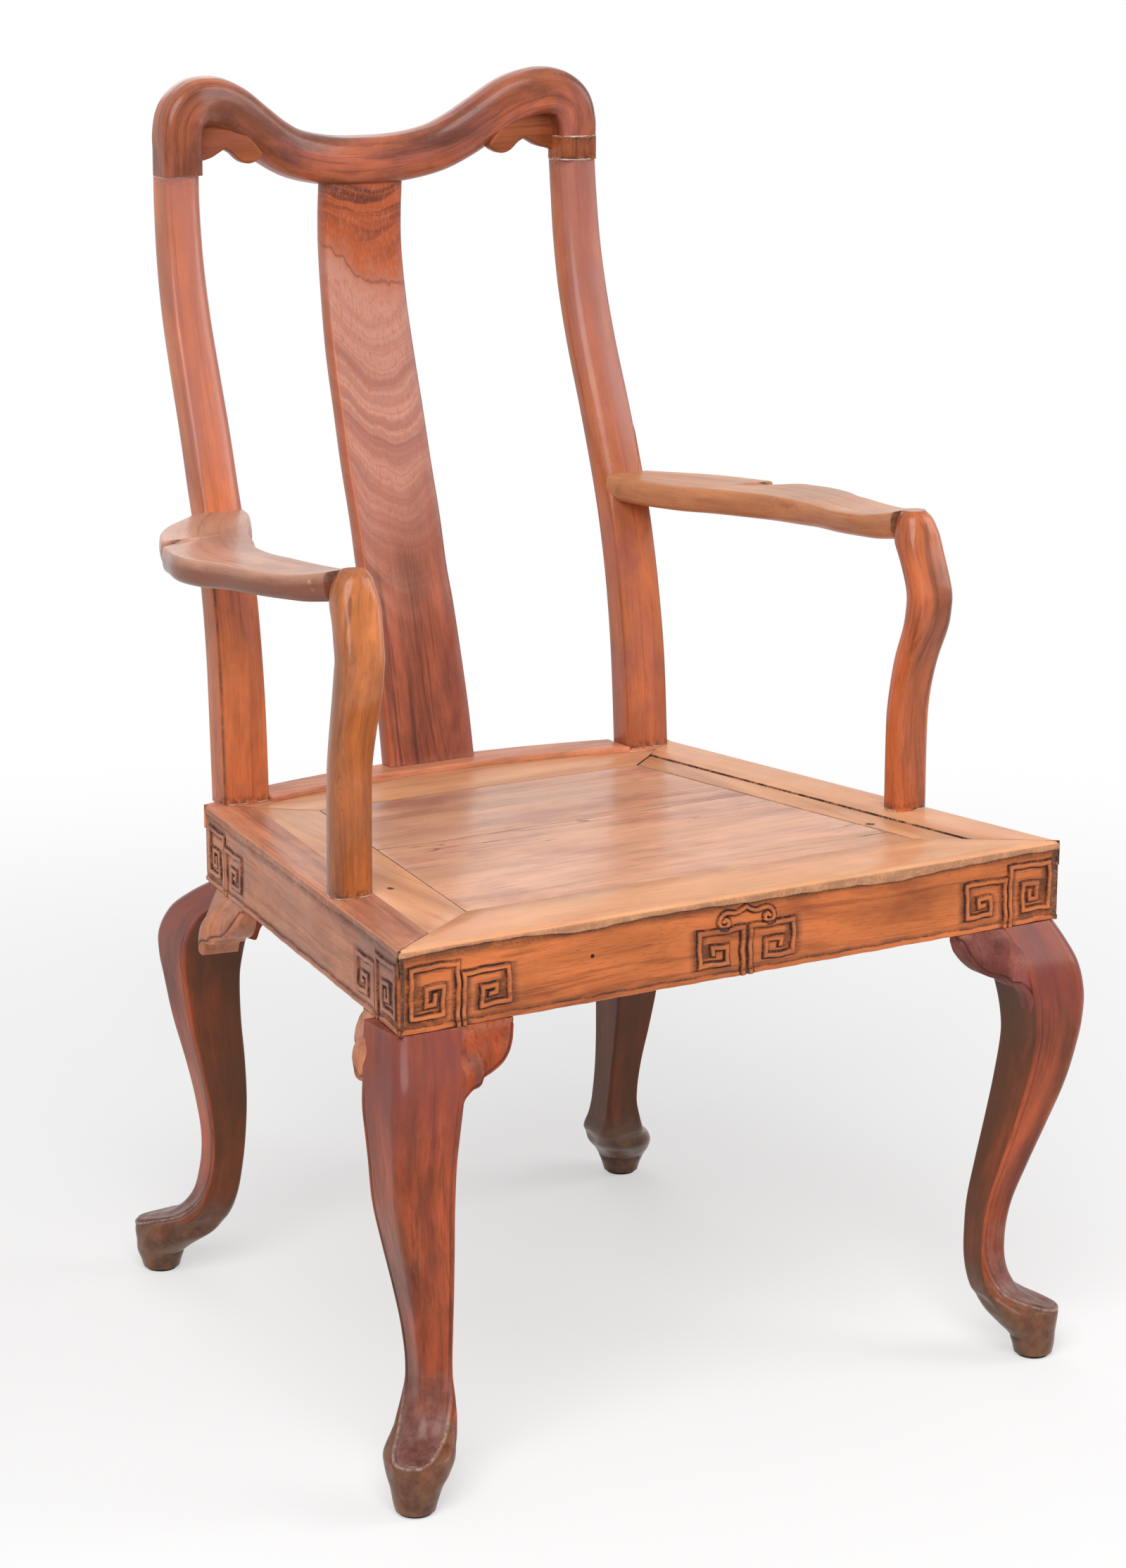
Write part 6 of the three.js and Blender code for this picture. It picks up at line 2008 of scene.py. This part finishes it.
class ARMCHAIR_OT_back(bpy.types.Operator):
    """Builds the back posts, the splat, the crest rail and the carved brackets under its humps"""

    bl_idname = "armchair.back"
    bl_label = "Back"

    def execute(self, context):
        colours = context.scene.armchair_colours
        shade, plum = tuple(colours.shade), tuple(colours.plum)
        for side in ("right", "left"):
            # The left post's wood is made paler for the light from the left, which is painted light; the
            # right post's is darker.
            lighter = 1.1 if side == "left" else 0.84
            wood = timber(
                f"Back post {side}", shade_of(colours.post, 1.2 * lighter),
                shade_of(colours.post, lighter), shade_of(shade, 1.1), shade_of(plum, 1.2),
                seed=31.0 + len(side), streaks=0.4, bloom_amount=0.45, roughness=0.3, coat=0.35,
                cloudy=0.24, glue=(POST_JOINT, SEAT_HEIGHT), purpled=True,
            )
            bm = post_piece(SEAT_HEIGHT + FIT, POST_JOINT - FIT / 2, 90)
            finish_piece(f"post_{side}", bm, wood, f"back_post_{side}", side)
            if side == "right":
                bottom = ARM_HEIGHT + 2.3
                x, _, width = post_at(bottom)
                tip = post_at(bottom + 42)
                bm = post_piece(bottom, bottom + 42, 16, extra=0.35)
                low = Vector((x + width / 2 - 5.7, 0, bottom))
                high = Vector((tip[0] + tip[2] / 2 + 0.3, 0, bottom + 42))
                run = high - low
                keep_side(bm, low, (-run.z, 0, run.x))
                finish_piece("post_patch_shown", bm, wood, "post_patch_right")
        crest = timber(
            "Crest", shade_of(colours.crest, 1.25), tuple(colours.crest), shade_of(shade, 0.6),
            shade_of(plum, 1.5), seed=41.0, streaks=0.55, bloom_amount=0.55, wave=0.03, roughness=0.26,
            coat=0.4, cloudy=0.6,
        )
        bm = crest_piece()
        keep_side(bm, (0, 0, POST_JOINT + FIT / 2), (0, 0, -1), beyond=POST_TOP_X - 60)
        block = bm.copy()
        corner = Vector((POST_TOP_X - CREST_WIDTHS[1], 0, POST_JOINT + REPAIR_HEIGHT))
        finish_piece("crest", bm, crest, "crest_rail")
        keep_side(block, corner, (-1, 0, 0))
        keep_side(block, corner - Vector((0, 0, FIT / 2)), (0, 0, 1))
        for vert in block.verts:
            vert.co += vert.normal * 0.3
        repair = timber(
            "Crest repair", shade_of(colours.post, 0.75), shade_of(colours.post, 0.55),
            shade_of(shade, 0.6), plum, seed=43.0, streaks=0.5,
            glue=(POST_JOINT, POST_JOINT + REPAIR_HEIGHT),
        )
        finish_piece("repair_block", block, repair, "crest_repair_block")
        # The brackets' wood is darkened for the shade under the humps: painted shade.
        bracket = timber(
            "Shaded crest bracket", shade_of(colours.post, 0.66), shade_of(colours.post, 0.46),
            shade_of(shade, 0.6), plum, seed=44.0, streaks=0.5,
        )
        for side in ("right", "left"):
            bm = crest_bracket()
            finish_piece(
                f"hump_bracket_{side}", bm, bracket, f"crest_bracket_{side}", side,
                along_x, reach=1, scale=2,
            )
        splat = timber(
            "Splat", shade_of(colours.splat, 1.0), shade_of(colours.splat, 0.66), shade_of(shade, 0.5),
            shade_of(plum, 0.7), seed=47.0, streaks=0.8, bloom_amount=0.4, wave=0.03, fine=0.35,
            width=0.7, roughness=0.3, coat=0.3, cloudy=0.42, figured=True,
        )
        finish_piece("splat", splat_piece(), splat, "back_splat")
        return {"FINISHED"}


class ARMCHAIR_OT_arms(bpy.types.Operator):
    """Builds the serpentine arms with their beaked wings, and the swan-necked supports"""

    bl_idname = "armchair.arms"
    bl_label = "Arms"

    def execute(self, context):
        colours = context.scene.armchair_colours
        shade = tuple(colours.shade)
        for side in ("right", "left"):
            base = colours.arm if side == "left" else colours.arm_pale
            wood = timber(
                f"Arm {side}", shade_of(base, 1.22), tuple(base), shade_of(shade, 1.5),
                shade_of(base, 0.66), seed=51.0 + len(side), streaks=0.3, bloom_amount=0.45,
                roughness=0.38, coat=0.3, cloudy=0.14,
                under=0.8 if side == "left" else 0.2,
                spots=[(chip, tint(222, 176, 136)) for chip in ARM_CHIPS] if side == "left" else (),
            )
            bm = arm_piece()
            finish_piece(f"armrest_{side}", bm, wood, f"arm_{side}", side)
            tone = colours.support if side == "left" else colours.support_red
            olive = timber(
                f"Arm support {side}", shade_of(tone, 1.45), tuple(tone), shade_of(shade, 0.9),
                shade_of(tone, 0.62), seed=57.0 + len(side), streaks=0.6, bloom_amount=0.6, wave=0.06,
                coat=0.45, roughness=0.28, cloudy=0.3, width=0.8, glue=(SEAT_HEIGHT,),
            )
            bm = support_piece()
            node = f"arm_support_{side}"
            piece = finish_piece(f"support_{side}", bm, olive, node, side)
            reach = SUPPORT_X if side == "right" else -SUPPORT_X
            under = ARM_HEIGHT + ARM_RISE - ARM_THICKNESS - FIT
            low = (reach - 35, ARM_FRONT - FIT / 2, under)
            cut_box(piece, low, (reach + 35, ARM_FRONT + 25, SUPPORT_TOP + 10))
        return {"FINISHED"}


class ARMCHAIR_PT_panel(bpy.types.Panel):
    bl_idname = "ARMCHAIR_PT_panel"
    bl_label = "Carved open armchair"
    bl_space_type = "VIEW_3D"
    bl_region_type = "UI"
    bl_category = "Armchair"

    def draw(self, context):
        for operator in OPERATORS:
            self.layout.operator(operator.bl_idname)
        scene = context.scene
        for group in (scene.armchair_carving, scene.armchair_colours, scene.armchair_studio):
            box = self.layout.box()
            for key in group.bl_rna.properties.keys():
                if key not in ("rna_type", "name"):
                    box.prop(group, key)


OPERATORS = (
    ARMCHAIR_OT_stage,
    ARMCHAIR_OT_seat_frame,
    ARMCHAIR_OT_seat_panel,
    ARMCHAIR_OT_legs,
    ARMCHAIR_OT_knee_ears,
    ARMCHAIR_OT_back,
    ARMCHAIR_OT_arms,
)
CLASSES = (ArmchairCarving, ArmchairColours, ArmchairStudio, *OPERATORS, ARMCHAIR_PT_panel)


def register():
    for item in CLASSES:
        bpy.utils.register_class(item)
    bpy.types.Scene.armchair_carving = PointerProperty(type=ArmchairCarving)
    bpy.types.Scene.armchair_colours = PointerProperty(type=ArmchairColours)
    bpy.types.Scene.armchair_studio = PointerProperty(type=ArmchairStudio)


def unregister():
    for key in ("armchair_carving", "armchair_colours", "armchair_studio"):
        delattr(bpy.types.Scene, key)
    for item in reversed(CLASSES):
        bpy.utils.unregister_class(item)


def main():
    register()
    for operator in OPERATORS:
        group, name = operator.bl_idname.split(".")
        getattr(getattr(bpy.ops, group), name)()


if __name__ == "__main__":
    main()
